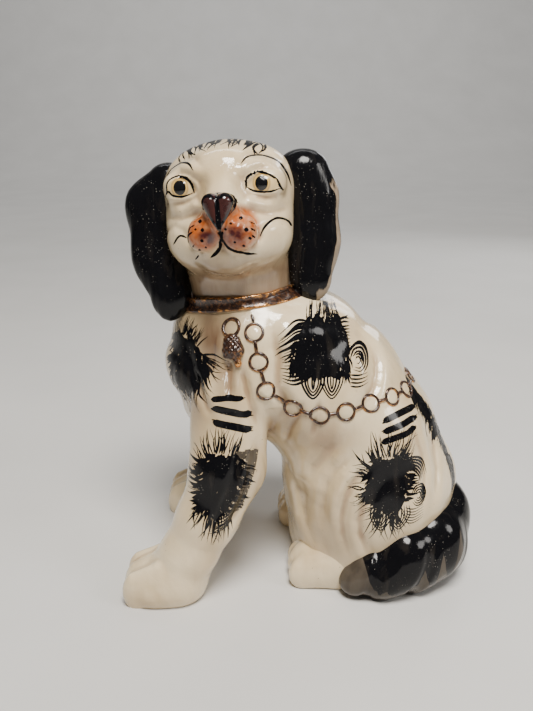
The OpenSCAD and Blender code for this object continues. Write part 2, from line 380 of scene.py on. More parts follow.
MOUTH_GROOVE = forms(
    ((0, -38.5, -11), (0.7, 2.6, 1.5)),
    ((0, -36, -19), (0.9, 3, 1.5)),
    ((4.5, -33.5, -23.6), (1.5, 2.6, 0.9)),
    ((10.5, -28.5, -22.8), (1.5, 2.4, 0.8)),
    ((14.5, -24, -17), (1, 2, 1.5)),
)
JAW_CREASE = forms(
    ((0, -28.5, -33.5), (4, 2.4, 1.6)),
    ((9, -26, -33), (4, 2.4, 1.6)),
    ((18, -19, -31), (3, 2, 1.4)),
)


def head_cavity_field(p):
    q = head_local(p)
    return np.minimum(swept(q, *shrunk(SKULL, WALL)), swept(p, *shrunk(TRUNK[:2], WALL)))


def ear_field(p, chain):
    q = head_local(p)
    d = chained(q, chain, 5)
    side = np.sign(chain[0][0][0])
    u = q[:, 0] * side
    strands = np.sin(u * 1.7 + 1.1 * np.sin(q[:, 2] / 9) + 0.06 * q[:, 2])
    waves = np.sin(u * 0.55 + 0.8 * np.sin(q[:, 2] / 11 + 1))
    d = d + (0.08 * strands + 0.25 * waves) * ramp(-q[:, 1], -6, 0) * ramp(-q[:, 2], -12, 2)
    return np.maximum(d, -head_field(p) - JOIN_DEPTH)


# ---------------------------------------------------------------- meshing

def blocks(field, low, high, step, coarse=5):
    """The field on a grid, worked out in full only near its surface."""
    low = np.array(low, np.float32)
    cells = np.ceil((np.array(high) - low) / (step * coarse)).astype(int)
    axes = [low[i] + step * coarse * np.arange(cells[i] + 1, dtype=np.float32) for i in range(3)]
    rough = field(np.stack(np.meshgrid(*axes, indexing="ij"), -1).reshape(-1, 3))
    rough = rough.reshape(cells + 1)
    corners = [rough[i:cells[0] + i, j:cells[1] + j, k:cells[2] + k]
               for i in (0, 1) for j in (0, 1) for k in (0, 1)]
    near = np.min(np.abs(corners), 0) < 1.4 * step * coarse
    fine = corners[0].repeat(coarse, 0).repeat(coarse, 1).repeat(coarse, 2)
    wanted = near.repeat(coarse, 0).repeat(coarse, 1).repeat(coarse, 2)
    index = np.argwhere(wanted)
    for part in np.array_split(index, max(1, len(index) // 200000)):
        fine[tuple(part.T)] = field(low + step * part.astype(np.float32))
    return fine, low


EDGES = [(a, b) for a in range(8) for b in range(a + 1, 8) if bin(a ^ b).count("1") == 1]
CORNER = np.array([(c >> 2 & 1, c >> 1 & 1, c & 1) for c in range(8)], np.float32)


def meshed(field, low, high, step, settle=3):
    """Points and quads of the field's surface, the points settled exactly onto it."""
    f, low = blocks(field, low, high, step)
    inside = f < 0
    n = np.array(f.shape) - 1
    count = sum(inside[i:n[0] + i, j:n[1] + j, k:n[2] + k].astype(np.int8)
                for i in (0, 1) for j in (0, 1) for k in (0, 1))
    cells = np.argwhere((count > 0) & (count < 8))
    values = np.stack([f[tuple((cells + CORNER[c].astype(int)).T)] for c in range(8)], 1)
    total = np.zeros((len(cells), 3), np.float32)
    hits = np.zeros(len(cells), np.float32)
    for a, b in EDGES:
        va, vb = values[:, a], values[:, b]
        crosses = (va < 0) != (vb < 0)
        t = np.where(crosses, va / np.where(crosses, va - vb, 1), 0)[:, None]
        total += np.where(crosses[:, None], CORNER[a] + t * (CORNER[b] - CORNER[a]), 0)
        hits += crosses
    points = low + step * (cells + total / hits[:, None])
    number = np.full(n, -1, np.int32)
    number[tuple(cells.T)] = np.arange(len(cells))
    quads = []
    for axis in range(3):
        u, v = (axis + 1) % 3, (axis + 2) % 3
        start = np.moveaxis(inside, (axis, u, v), (0, 1, 2))[:, 1:-1, 1:-1]
        where = np.argwhere(start[:-1] != start[1:])
        if not len(where):
            continue
        entering = start[:-1][tuple(where.T)]
        base = np.empty_like(where)
        base[:, axis], base[:, u], base[:, v] = where[:, 0], where[:, 1] + 1, where[:, 2] + 1
        ring = []
        for du, dv in ((-1, -1), (0, -1), (0, 0), (-1, 0)):
            cell = base.copy()
            cell[:, u] += du
            cell[:, v] += dv
            ring.append(number[tuple(cell.T)])
        ring = np.stack(ring, 1)
        ring[~entering] = ring[~entering][:, ::-1]
        quads.append(ring)
    quads = np.concatenate(quads)
    for _ in range(settle):
        d, slope = slope_of(field, points)
        size = np.maximum((slope * slope).sum(1), 0.05)
        points = points - np.clip(d / size, -step, step)[:, None] * slope
    return points, quads


def slope_of(field, p, e=0.2):
    """The field and its slope at each point."""
    d = field(p)
    slope = [(field(p + np.float32(e) * np.eye(3, dtype=np.float32)[i]) - d) / e for i in range(3)]
    return d, np.stack(slope, 1)


def unit(rows):
    return rows / np.maximum(np.linalg.norm(rows, axis=1), 1e-6)[:, None]


def normals_of(field, p):
    return unit(slope_of(field, p)[1])


def hollowness(points, quads, normals, passes):
    """How far each point lies in a crease: its depth below a smoothed copy of the surface, mm."""
    a = np.concatenate([quads[:, i] for i in range(4)])
    b = np.concatenate([quads[:, (i + 1) % 4] for i in range(4)])
    ends, others = np.concatenate([a, b]), np.concatenate([b, a])
    share = np.maximum(np.bincount(ends, minlength=len(points)), 1)[:, None]
    soft = points.astype(float)
    for _ in range(passes):
        soft = np.stack([np.bincount(ends, soft[others, i], len(points)) for i in range(3)], 1) / share
    return ((soft - points) * normals).sum(1).astype(np.float32)


# ---------------------------------------------------------------- blender pieces

OUTSIDE, INSIDE = 0, 1                   # material slots of a clay piece
SHELL_SMOOTHING, LIMB_SMOOTHING = 13, 9  # how far creases are smoothed over to measure them, mm
DEEPEST = 3                              # crease depth that counts, mm


def add_layer(mesh, name, values):
    """A number per point that the materials read."""
    layer = mesh.attributes.new(name, "FLOAT", "POINT")
    layer.data.foreach_set("value", np.asarray(values, np.float32))


def fetched(rows, name, kind=np.int32, width=1):
    values = np.empty(len(rows) * width, kind)
    rows.foreach_get(name, values)
    return values.reshape(-1, width) if width > 1 else values


def clay_source(field, low, high, step, cavity=None):
    """The outer surface and the hollow inside it as one bmesh, the depth of each crease kept."""
    points, quads = meshed(field, low, high, step)
    normals = normals_of(field, points)
    reach = SHELL_SMOOTHING if cavity else LIMB_SMOOTHING
    crease = np.clip(hollowness(points, quads, normals, round(reach / step)), -DEEPEST, DEEPEST)
    kind = np.zeros(len(quads), np.int32)
    if cavity:
        inner, inner_quads = meshed(cavity, low, high, CAVITY_STEP, settle=1)
        quads = np.concatenate([quads, inner_quads[:, ::-1] + len(points)])
        points = np.concatenate([points, inner])
        crease = np.concatenate([crease, np.zeros(len(inner), np.float32)])
        kind = np.concatenate([kind, np.full(len(inner_quads), INSIDE, np.int32)])
    mesh = bpy.data.meshes.new("clay")
    mesh.from_pydata(points, [], quads)
    add_layer(mesh, "crease", crease)
    mesh.polygons.foreach_set("material_index", kind)
    bm = bmesh.new()
    bm.from_mesh(mesh)
    bpy.data.meshes.remove(mesh)
    return bm


def close_rim(bm, edges, way):
    """Fills the cut edges with flat raw clay facing way."""
    way = Vector(way)
    rim = [e for e in edges if e.is_valid and e.is_boundary]
    made = bmesh.ops.triangle_fill(bm, edges=rim, normal=way)["geom"]
    for f in made:
        if isinstance(f, bmesh.types.BMFace):
            f.material_index = INSIDE
            f.smooth = False
            f.normal_update()
            if f.normal.dot(way) < 0:
                f.normal_flip()
    for e in rim:
        e.smooth = False


def split_at(bm, at, way, geometry=None, clear=True):
    """Cuts the mesh at a plane and returns the cut edges."""
    geometry = geometry or bm.verts[:] + bm.edges[:] + bm.faces[:]
    cut = bmesh.ops.bisect_plane(bm, geom=geometry, dist=1e-4, plane_co=Vector(at),
                                 plane_no=Vector(way), clear_outer=clear)["geom_cut"]
    return [e for e in cut if isinstance(e, bmesh.types.BMEdge)]


def kept(source, planes):
    """A closed copy of source, without what lies beyond each plane (point, outward direction)."""
    bm = source.copy()
    for at, way in planes:
        close_rim(bm, split_at(bm, at, way), way)
    return bm


def drop_loose(bm, wanted):
    """Removes the islands of the mesh for which wanted(its middle) is false."""
    seen = set()
    for start in bm.verts:
        if start in seen:
            continue
        island, queue = [], [start]
        seen.add(start)
        while queue:
            v = queue.pop()
            island.append(v)
            for e in v.link_edges:
                other = e.other_vert(v)
                if other not in seen:
                    seen.add(other)
                    queue.append(other)
        middle = sum((v.co for v in island), Vector()) / len(island)
        if not wanted(middle, len(island)):
            bmesh.ops.delete(bm, geom=island, context="VERTS")


def piece(name, bm, materials, nodes=(), field=None, paint=None):
    """Turns a bmesh in millimetres into a piece in metres, shaded with its field's own normals."""
    bmesh.ops.recalc_face_normals(bm, faces=bm.faces[:])
    mesh = bpy.data.meshes.new(name)
    bm.to_mesh(mesh)
    bm.free()
    points = fetched(mesh.vertices, "co", np.float32, 3)
    for m in materials:
        mesh.materials.append(m)
    if paint:
        for layer, values in paint(points).items():
            add_layer(mesh, layer, values)
    if field:
        shade_with(mesh, points, field)
    mesh.transform(Matrix.Scale(MM, 4))
    obj = bpy.data.objects.new(name, mesh)
    bpy.context.scene.collection.objects.link(obj)
    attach(obj, "root")
    if nodes:
        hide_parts(*nodes)
    return obj


def shade_with(mesh, points, field):
    """Gives the outer faces the normals of the field they were meshed from."""
    normals = normals_of(field, points)
    own = fetched(mesh.corner_normals, "vector", np.float32, 3)
    corner = fetched(mesh.loops, "vertex_index")
    sides = fetched(mesh.polygons, "loop_total")
    kind = fetched(mesh.polygons, "material_index")
    outside = np.repeat(kind == OUTSIDE, sides) & ((own * normals[corner]).sum(1) > 0.2)
    mesh.normals_split_custom_set(np.where(outside[:, None], normals[corner], own))


# ---------------------------------------------------------------- materials

class Nodes:
    """Short names for the shader nodes used below."""

    def __init__(self, name):
        self.material = bpy.data.materials.new(name)
        self.material.use_nodes = True
        self.tree = self.material.node_tree
        self.shader = self.tree.nodes["Principled BSDF"]
        self.place = self.node("ShaderNodeTexCoord").outputs["Object"]

    def node(self, kind, **settings):
        made = self.tree.nodes.new(kind)
        for key, value in settings.items():
            setattr(made, key, value)
        return made

    def join(self, value, socket):
        if isinstance(value, bpy.types.NodeSocket):
            self.tree.links.new(value, socket)
        else:
            socket.default_value = value

    def feed(self, node, **values):
        for key, value in values.items():
            self.join(value, node.inputs[key.replace("_", " ")])

    def noise(self, scale, detail=3, stretch=(1, 1, 1), distortion=0.0):
        mapping = self.node("ShaderNodeMapping")
        self.feed(mapping, Vector=self.place, Scale=stretch)
        made = self.node("ShaderNodeTexNoise")
        self.feed(made, Vector=mapping.outputs[0], Scale=scale, Detail=detail, Distortion=distortion)
        return made.outputs["Fac"]

    def cells(self, scale, feature="DISTANCE_TO_EDGE"):
        made = self.node("ShaderNodeTexVoronoi", feature=feature)
        self.feed(made, Vector=self.place, Scale=scale)
        return made.outputs["Distance"]

    def layer(self, name):
        return self.node("ShaderNodeAttribute", attribute_name=name).outputs["Fac"]

    def span(self, value, low, high, start=0.0, end=1.0):
        made = self.node("ShaderNodeMapRange")
        for socket, v in zip(made.inputs, (value, low, high, start, end)):
            self.join(v, socket)
        return made.outputs[0]

    def math(self, operation, a, b=0.0):
        made = self.node("ShaderNodeMath", operation=operation)
        self.join(a, made.inputs[0])
        self.join(b, made.inputs[1])
        return made.outputs[0]

    def mix(self, share, a, b):
        made = self.node("ShaderNodeMix", data_type="RGBA")
        for socket, v in zip((made.inputs[0], made.inputs[6], made.inputs[7]), (share, a, b)):
            self.join(v, socket)
        return made.outputs[2]

    def bump(self, height, distance, under=None):
        made = self.node("ShaderNodeBump")
        self.feed(made, Height=height, Distance=distance)
        if under:
            self.feed(made, Normal=under)
        return made.outputs[0]

    def finish(self, color, roughness, normal=None, **rest):
        if normal:
            rest["Normal"] = normal
        self.feed(self.shader, Base_Color=color, Roughness=roughness, **rest)
        return self.material


CREAM = (0.60, 0.455, 0.265, 1)
IVORY = (0.80, 0.66, 0.435, 1)
# Brown of glaze pooled in the creases, also used there as painted shade.
POOLED_AND_SHADED = (0.36, 0.23, 0.125, 1)
BLACK = (0.004, 0.004, 0.005, 1)
WORN = (0.024, 0.020, 0.017, 1)
WASH = (0.085, 0.070, 0.054, 1)
ENAMEL_GLOSS = {"Specular_IOR_Level": 0.15, "Coat_Weight": 0.16, "Coat_Roughness": 0.06}
FINE_GLOSS = {"Specular_IOR_Level": 0.03, "Coat_Weight": 0.0}


def cream_color(n):
    """Lead glaze over cream clay: brown in the creases, partly pooled glaze and partly painted shade,
    and darkened in patches by painted shade with some staining.
    """
    cloud = n.noise(38, 4, (1, 1, 0.55), 0.4)
    streak = n.noise(150, 5, (1, 1, 0.16), 0.6)
    base = n.mix(n.span(cloud, 0.38, 0.66), IVORY, CREAM)
    base = n.mix(n.span(streak, 0.52, 0.75, 0, 0.22), base, (0.66, 0.52, 0.36, 1))
    # Painted shade: the deeper the crease, the browner the glaze, standing in for shade in the hollows
    # as well as pooled glaze.
    pool_and_shade = n.math("ADD", n.span(n.layer("crease"), 0.03, 0.55, 0, 0.95),
                  n.span(streak, 0.45, 0.75, -0.1, 0.1))
    pool_and_shade = n.math("MULTIPLY", pool_and_shade, n.span(cloud, 0.3, 0.6, 0.6, 1.0))
    base = n.mix(n.span(pool_and_shade, 0.02, 1.0), base, POOLED_AND_SHADED)
    # Painted shade: dark brown patches where the head, chest and chin shade the cream, with some
    # staining.
    tint = n.mix(n.noise(90, 3), (0.10, 0.055, 0.03, 1), (0.23, 0.125, 0.07, 1))
    base = n.mix(n.math("MULTIPLY", n.layer("shade_and_stain"), n.span(streak, 0.3, 0.65, 0.75, 1)), base, tint)
    speck = n.span(n.cells(420, "F1"), 0.07, 0.11, 0.75, 0)
    rare = n.span(n.noise(95, 1), 0.60, 0.64)
    return n.mix(n.math("MULTIPLY", speck, rare), base, (0.16, 0.10, 0.06, 1))


def glaze_finish(n, color):
    crackle = n.span(n.cells(190), 0.0, 0.035, 0, 1)
    orange_peel = n.noise(420, 2)
    normal = n.bump(orange_peel, 0.00012, n.bump(crackle, 0.00002))
    rough = n.span(n.noise(60, 3), 0.35, 0.7, 0.10, 0.24)
    return n.finish(color, rough, normal, Coat_Weight=0.5, Coat_Roughness=0.06)


def cream_glaze():
    n = Nodes("cream_glaze")
    return glaze_finish(n, cream_color(n))


def face_glaze():
    """The same glaze, with the painted eyes, nose and airbrushed muzzle."""
    n = Nodes("face_glaze")
    color = cream_color(n)
    blush = n.math("MULTIPLY", n.layer("muzzle"), n.span(n.noise(420, 5), 0.35, 0.62, 0.78, 1))
    color = n.mix(blush, color, n.mix(n.noise(130, 3), (0.50, 0.115, 0.014, 1), (0.28, 0.062, 0.014, 1)))
    color = n.mix(n.math("MULTIPLY", n.layer("scorch"), n.span(n.noise(300, 4), 0.3, 0.6, 0.5, 1)),
                  color, (0.050, 0.012, 0.012, 1))
    color = n.mix(edge(n, "eye"), color, (0.74, 0.55, 0.27, 1))
    color = n.mix(edge(n, "iris", 0.3), color, (0.42, 0.24, 0.07, 1))
    color = n.mix(edge(n, "iris_light", 0.4), color, (0.66, 0.44, 0.15, 1))
    color = n.mix(edge(n, "pupil"), color, BLACK)
    color = n.mix(edge(n, "nose_rim"), color, BLACK)
    color = n.mix(edge(n, "nose"), color, n.mix(n.noise(200, 3), (0.020, 0.008, 0.009, 1),
                                                (0.060, 0.020, 0.016, 1)))
    return glaze_finish(n, color)


def edge(n, layer, soft=0.06):
    """1 inside a painted outline, from its signed distance in mm."""
    return n.span(n.layer(layer), -soft, soft)


def black_color(n):
    worn = n.span(n.noise(210, 5, (1, 1, 0.2), 0.5), 0.56, 0.80, 0, 0.8)
    dust = n.span(n.cells(900, "F1"), 0.10, 0.15, 0.6, 0)
    color = n.mix(worn, BLACK, WORN)
    return n.mix(n.math("MULTIPLY", dust, n.span(n.noise(120, 2), 0.5, 0.6)),
                 color, (0.45, 0.42, 0.36, 1))


def enamel_finish(n, color, wave, low=0.06, high=0.22, gloss=ENAMEL_GLOSS):
    return n.finish(color, n.span(n.noise(90, 3), 0.3, 0.7, low, high), wave, **gloss)


def black_enamel(name="black_enamel", gloss=ENAMEL_GLOSS):
    n = Nodes(name)
    wave = n.bump(n.noise(240, 3, (1, 1, 0.25)), 0.0002)
    return enamel_finish(n, black_color(n), wave, gloss=gloss)


def tail_enamel():
    """Black above, thinning to a grey wash over the cream below a scalloped edge."""
    n = Nodes("tail_enamel")
    thin = n.mix(n.span(n.noise(160, 4, (1, 1, 0.3)), 0.35, 0.7), WASH, (0.045, 0.036, 0.028, 1))
    thin = n.mix(n.span(n.layer("crease"), 0.15, 0.6, 0, 0.8), thin, (0.50, 0.41, 0.29, 1))
    color = n.mix(edge(n, "wash", 0.25), black_color(n), thin)
    return enamel_finish(n, color, n.bump(n.noise(240, 3), 0.0002), high=0.2)


def ear_enamel():
    """Black, worn through to cream along the painted rim."""
    n = Nodes("ear_enamel")
    worn = n.math("ADD", n.layer("rim"), n.span(n.noise(330, 4, (1, 1, 0.3)), 0.3, 0.7, -0.6, 0.6))
    thin = n.mix(n.noise(140, 3), (0.46, 0.35, 0.24, 1), WASH)
    color = n.mix(n.span(worn, -0.25, 0.25), black_color(n), thin)
    wave = n.bump(n.noise(300, 4, (1, 1, 0.15), 0.4), 0.0004)
    return enamel_finish(n, color, wave, 0.07)


def wash_enamel():
    """The thin grey band beside the foreleg's patch."""
    n = Nodes("grey_wash")
    color = n.mix(n.span(n.noise(170, 5, (1, 1, 0.2)), 0.3, 0.7), (0.055, 0.045, 0.034, 1),
                  (0.14, 0.115, 0.085, 1))
    return enamel_finish(n, color, n.bump(n.noise(240, 3), 0.0001), 0.08)


def copper_lustre():
    """Thin copper lustre, fired dark brown, golden in random patches and as painted glints along lower
    sides and rims.
    """
    n = Nodes("copper_lustre")
    # Painted glint: the per-point copper numbers turn the lustre golden on lower sides and rims.
    patch = n.math("ADD", n.noise(230, 5, (1, 1, 1), 0.8), n.span(n.layer("gilt_and_glint"), -1, 1, -0.19, 0.17))
    gold = n.mix(n.noise(300, 2), (0.45, 0.16, 0.045, 1), (0.80, 0.42, 0.13, 1))
    dark = n.mix(n.span(n.noise(700, 3), 0.5, 0.7), (0.030, 0.013, 0.008, 1), (0.15, 0.065, 0.028, 1))
    shine = n.span(patch, 0.5, 0.64)
    return n.finish(n.mix(shine, dark, gold), n.span(n.noise(220, 3), 0.3, 0.7, 0.16, 0.38),
                    n.bump(n.noise(420, 4), 0.0003), Metallic=n.span(shine, 0, 1, 0.3, 1.0),
                    Coat_Weight=0.4)


def bare_clay():
    n = Nodes("bare_clay")
    grain = n.noise(900, 6)
    cloud = n.noise(60, 4)
    color = n.mix(n.span(cloud, 0.3, 0.7), (0.60, 0.50, 0.37, 1), (0.46, 0.35, 0.24, 1))
    color = n.mix(n.span(grain, 0.55, 0.7, 0, 0.5), color, (0.25, 0.17, 0.11, 1))
    return n.finish(color, n.span(grain, 0.3, 0.7, 0.6, 0.9), n.bump(grain, 0.0004))


GLAZE = cream_glaze()
FACE = face_glaze()
ENAMEL = black_enamel()
LINE = black_enamel("fine_line_enamel", FINE_GLOSS)
EAR = ear_enamel()
TAIL_PAINT = tail_enamel()
WASHED = wash_enamel()
LUSTRE = copper_lustre()
CLAY = bare_clay()


# ---------------------------------------------------------------- clay pieces

BODY_LOW, BODY_HIGH = (-92, -62, -6), (88, 62, 176)
HEAD_LOW, HEAD_HIGH = (-74, -56, 120), (8, 32, 210)


def both_ways(matrix, axis):
    """The turned axis and its opposite."""
    way = matrix @ np.float32(axis)
    return tuple(way), tuple(-way)


COLLAR_UP, COLLAR_DOWN = both_ways(COLLAR_M, (0, 0, 1))
JOINT_UP, JOINT_DOWN = both_ways(turn(LEG_JOINT_TILT), (0, 0, 1))
SEAM_BACK, SEAM_FRONT = both_ways(turn((0, 0, HEAD_TURN[2])), (0, 1, 0))
TABLE_DOWN = ((0, 0, 0), (0, 0, -1))
CRUMB = 200                              # islands of no more points than this are dropped
EAR_CRUMB = 2000


def ahead(co):
    return co.x < LEG_REAR and abs(co.y) > LEG_INNER


def below_joint(co):
    return (co - Vector(LEG_JOINT)).dot(Vector(JOINT_UP)) < -1e-3


def without_forelegs(source):
    bm = source.copy()
    near = [f for f in bm.faces if all(ahead(v.co) for v in f.verts)]
    edges = {e for f in near for e in f.edges}
    verts = {v for f in near for v in f.verts}
    rim = split_at(bm, LEG_JOINT, JOINT_UP, list(verts) + list(edges) + near, clear=False)
    legs = [f for f in bm.faces
            if ahead(f.calc_center_median()) and below_joint(f.calc_center_median())]
    bmesh.ops.delete(bm, geom=legs, context="FACES")
    close_rim(bm, rim, JOINT_DOWN)
    return bm


# Brown patches on the near side, painted shade below the head, chest and belly with some glaze staining,
# as (x, z, half width, half height, strength).
SHADE_AND_STAIN_SPOTS = (
    (-40.5, 121, 7.5, 13, 1.0),
    (-34, 107, 6, 11, 0.8),
    (-49, 94, 8, 10, 0.55),
    (8, 78, 18, 9, 0.58),
    (-8, 84, 10, 9, 0.52),
    (-22, 68, 4, 14, 0.3),
    (14, 26, 9, 16, 0.3),
)


def body_paint(p):
    # Painted shade with some staining, on the near side only.
    shade_and_stain = np.zeros(len(p))
    for x, z, wide, tall, strength in SHADE_AND_STAIN_SPOTS:
        spread = ((p[:, 0] - x) / wide) ** 2 + ((p[:, 2] - z) / tall) ** 2
        shade_and_stain = np.maximum(shade_and_stain, strength * np.exp(-spread))
    return {"shade_and_stain": shade_and_stain * ramp(-p[:, 1], -4, 14)}


body = clay_source(body_field, BODY_LOW, BODY_HIGH, BODY_STEP, cavity_field)
collar_cut = (tuple(COLLAR_C), COLLAR_UP)
BODY_TREE = BVHTree.FromBMesh(body)
trunk = kept(without_forelegs(body), (TABLE_DOWN, collar_cut))
for name, node, way in (("front_shell_clay", "body_front_shell", (0, 1, 0)),
                        ("back_shell_clay", "body_back_shell", (0, -1, 0))):
    piece(name, kept(trunk, (((0, 0, 0), way),)), (GLAZE, CLAY), (node,), body_field,
          body_paint)
legs = kept(body, (TABLE_DOWN, (LEG_JOINT, JOINT_UP), ((LEG_REAR, 0, 0), (1, 0, 0))))
for name, node, side in (("left_foreleg_clay", "left_foreleg", -1),
                         ("right_foreleg_clay", "right_foreleg", 1)):
    leg = legs.copy()
    drop_loose(leg, lambda middle, size: middle.y * side > 0 and size > CRUMB)
    piece(name, leg, (GLAZE, CLAY), (node,), body_field, body_paint)

for name, node, side in (("left_hind_foot_clay", "left_hind_foot", -1),
                         ("right_hind_foot_clay", "right_hind_foot", 1)):
    low, high = ((-14, -46, -4), (44, 0, 28)) if side < 0 else ((-14, 0, -4), (44, 46, 28))

    def foot(p, side=side):
        return hind_foot_field(p, side)

    piece(name, kept(clay_source(foot, low, high, BODY_STEP), (TABLE_DOWN,)),
          (GLAZE, CLAY), (node,), foot)


# Height of the grey wash on the near side of the tail, by x: notches run up between the black tufts.
WASH_X = (22, 26, 30, 34, 36, 39, 43, 48, 51, 54, 57, 60, 63, 66, 69, 72, 75, 79)
WASH_Z = (40, 22, 10, 6, 9, 5.5, 5, 8.5, 9, 18, 8, 7.5, 24, 9, 11, 32, 12, 8)


def tail_paint(p):
    """Signed distance into the grey wash along the tail's lower edge."""
    near = np.interp(p[:, 0], WASH_X, WASH_Z)
    far = 8 + 3 * np.abs(np.sin(p[:, 1] / 3.4))
    level = near + (far - near) * ramp(p[:, 1], -26, -16)
    return {"wash": level + 0.6 * np.sin(p[:, 0] * 3 + p[:, 1]) - p[:, 2]}


piece("tail_clay", kept(clay_source(tail_field, (10, -62, -4), (88, 32, 54), BODY_STEP * 0.85),
                        (TABLE_DOWN,)),
      (TAIL_PAINT, CLAY), ("tail",), tail_field, tail_paint)


def lens(x, z, centre, half_width, top, bottom):
    """Signed distance, about, into an almond outline."""
    u = (x - centre[0]) / half_width
    height = np.where(z > centre[1], top, bottom) * (1 - np.abs(u) ** 2.4)
    return np.minimum(height - np.abs(z - centre[1]), half_width * (1 - np.abs(u)))


def face_paint(p):
    q = head_local(p)
    x, y, z = q.T
    front = y < -8
    hidden = -9.0
    layers = {"eye": np.full(len(p), hidden)}
    for key, radius in (("iris", 3.8), ("iris_light", 3.4), ("pupil", 2.75)):
        layers[key] = np.full(len(p), hidden)
        for centre in ((-17.4, 4.9), (16.1, 4.6)):
            ring = radius - np.hypot((x - centre[0]) * 1.06, (z - centre[1]) * 0.92)
            layers[key] = np.maximum(layers[key], np.where(front, ring, hidden))
    for centre, half in (((-17.4, 4.2), 6.2), ((16.9, 4.0), 6.9)):
        opening = lens(x, z, centre, half, 4.8, 3.2)
        layers["eye"] = np.maximum(layers["eye"], np.where(front, opening, hidden))
    for key in ("iris", "iris_light", "pupil"):
        layers[key] = np.minimum(layers[key], layers["eye"] - 0.05)
    width = np.interp(z, (-16, -14, -10, -6, -3, -1, 1), (0, 0.9, 3.4, 6.2, 6.6, 5, 0))
    notch = 1.6 * np.exp(-(x / 1.6) ** 2) * ramp(z, -3.5, 0)
    heart = np.where((y < -30) & (z > -16), width - notch - np.abs(x - 0.2), hidden)
    layers["nose_rim"] = heart
    layers["nose"] = np.minimum(heart - 1.1, np.abs(x - 0.2) - 0.8)
    # Painted shade under the chin and down the neck.
    layers["shade_and_stain"] = 0.85 * ramp(-z, 19, 31)
    spread = np.minimum(np.hypot((x + 6.5) / 7.4, (z + 14) / 8),
                        np.hypot((x - 6.6) / 8.4, (z + 13.5) / 9.5))
    layers["muzzle"] = np.where(y < -14, 1 - ramp(spread, 0.78, 1.14), 0)
    scorch = np.minimum(np.hypot((x + 5.4) / 4.6, (z + 17) / 3.6),
                        np.hypot((x - 5.4) / 6.6, (z + 16.4) / 4.4))
    layers["scorch"] = np.where(y < -14, 1 - ramp(scorch, 0.4, 1.25), 0)
    return layers


head = kept(clay_source(head_field, HEAD_LOW, HEAD_HIGH, HEAD_STEP, head_cavity_field),
            ((tuple(COLLAR_C), COLLAR_DOWN),))
HEAD_TREE = BVHTree.FromBMesh(head)
piece("face_clay", kept(head, ((tuple(HEAD_C), SEAM_BACK),)),
      (FACE, CLAY), ("face_shell",), head_field, face_paint)
piece("head_back_clay", kept(head, ((tuple(HEAD_C), SEAM_FRONT),)),
      (GLAZE, CLAY), ("head_back_shell",), head_field)


def ear_paint(chain):
    side = np.sign(chain[0][0][0])

    def paint(p):
        q = head_local(p)
        if side < 0:
            return {"rim": np.full(len(p), -0.9)}
        outer = np.interp(q[:, 2], (-45, -33, -18, 1, 12, 21), (39, 43.5, 46.8, 47, 40, 31))
        rim = ramp(q[:, 0], outer - 1.6, outer - 0.6) * ramp(-q[:, 2], -10, 2)
        toe = ramp(-q[:, 2], 37, 42) * ramp(q[:, 0], 33, 38)
        front = ramp(-q[:, 1], -7, -3)
        return {"rim": 1.6 * np.maximum(rim, toe) * front - 0.9}

    return paint


for name, node, chain in (("right_ear_clay", "right_ear", RIGHT_EAR),
                          ("left_ear_clay", "left_ear", LEFT_EAR)):
    def flap(p, chain=chain):
        return ear_field(p, chain)

    reach = np.array([HEAD_C + HEAD_M @ (c + sign * h) for c, h in chain for sign in (-1, 1)])
    ear = clay_source(flap, reach.min(0) - 6, reach.max(0) + 6, HEAD_STEP * 1.15)
    drop_loose(ear, lambda middle, size: size > EAR_CRUMB)
    piece(name, ear, (EAR,), (node,), flap, ear_paint(chain))


# ---------------------------------------------------------------- relief and enamel on the clay

class Side:
    """A clay surface seen from one side, with flat coordinates (u to the right, v up) in mm."""

    def __init__(self, tree, field, at=(0, 0, 0), look=(0, 1, 0), up=(0, 0, 1), back=90):
        self.tree, self.field, self.at, self.back = tree, field, Vector(at), back
        self.look = Vector(look).normalized()
        self.right = self.look.cross(Vector(up)).normalized()
        self.up = self.right.cross(self.look)

    def spot(self, u, v):
        start = self.at + float(u) * self.right + float(v) * self.up - self.back * self.look
        return self.tree.ray_cast(start, self.look)[0]

    def facing(self, u, v):
        """The same surface seen square on at the spot (u, v), which is its new (0, 0)."""
        spot = self.spot(u, v)
        return Side(self.tree, self.field, spot, -Vector(self.normals([tuple(spot)])[0]), back=6)

    def track(self, places):
        """The surface points at places (u, v), and the normals there."""
        spots = np.array([tuple(self.spot(*place)) for place in places])
        return spots, self.normals(spots)

    def normals(self, points):
        return normals_of(self.field, np.array(points, np.float32))


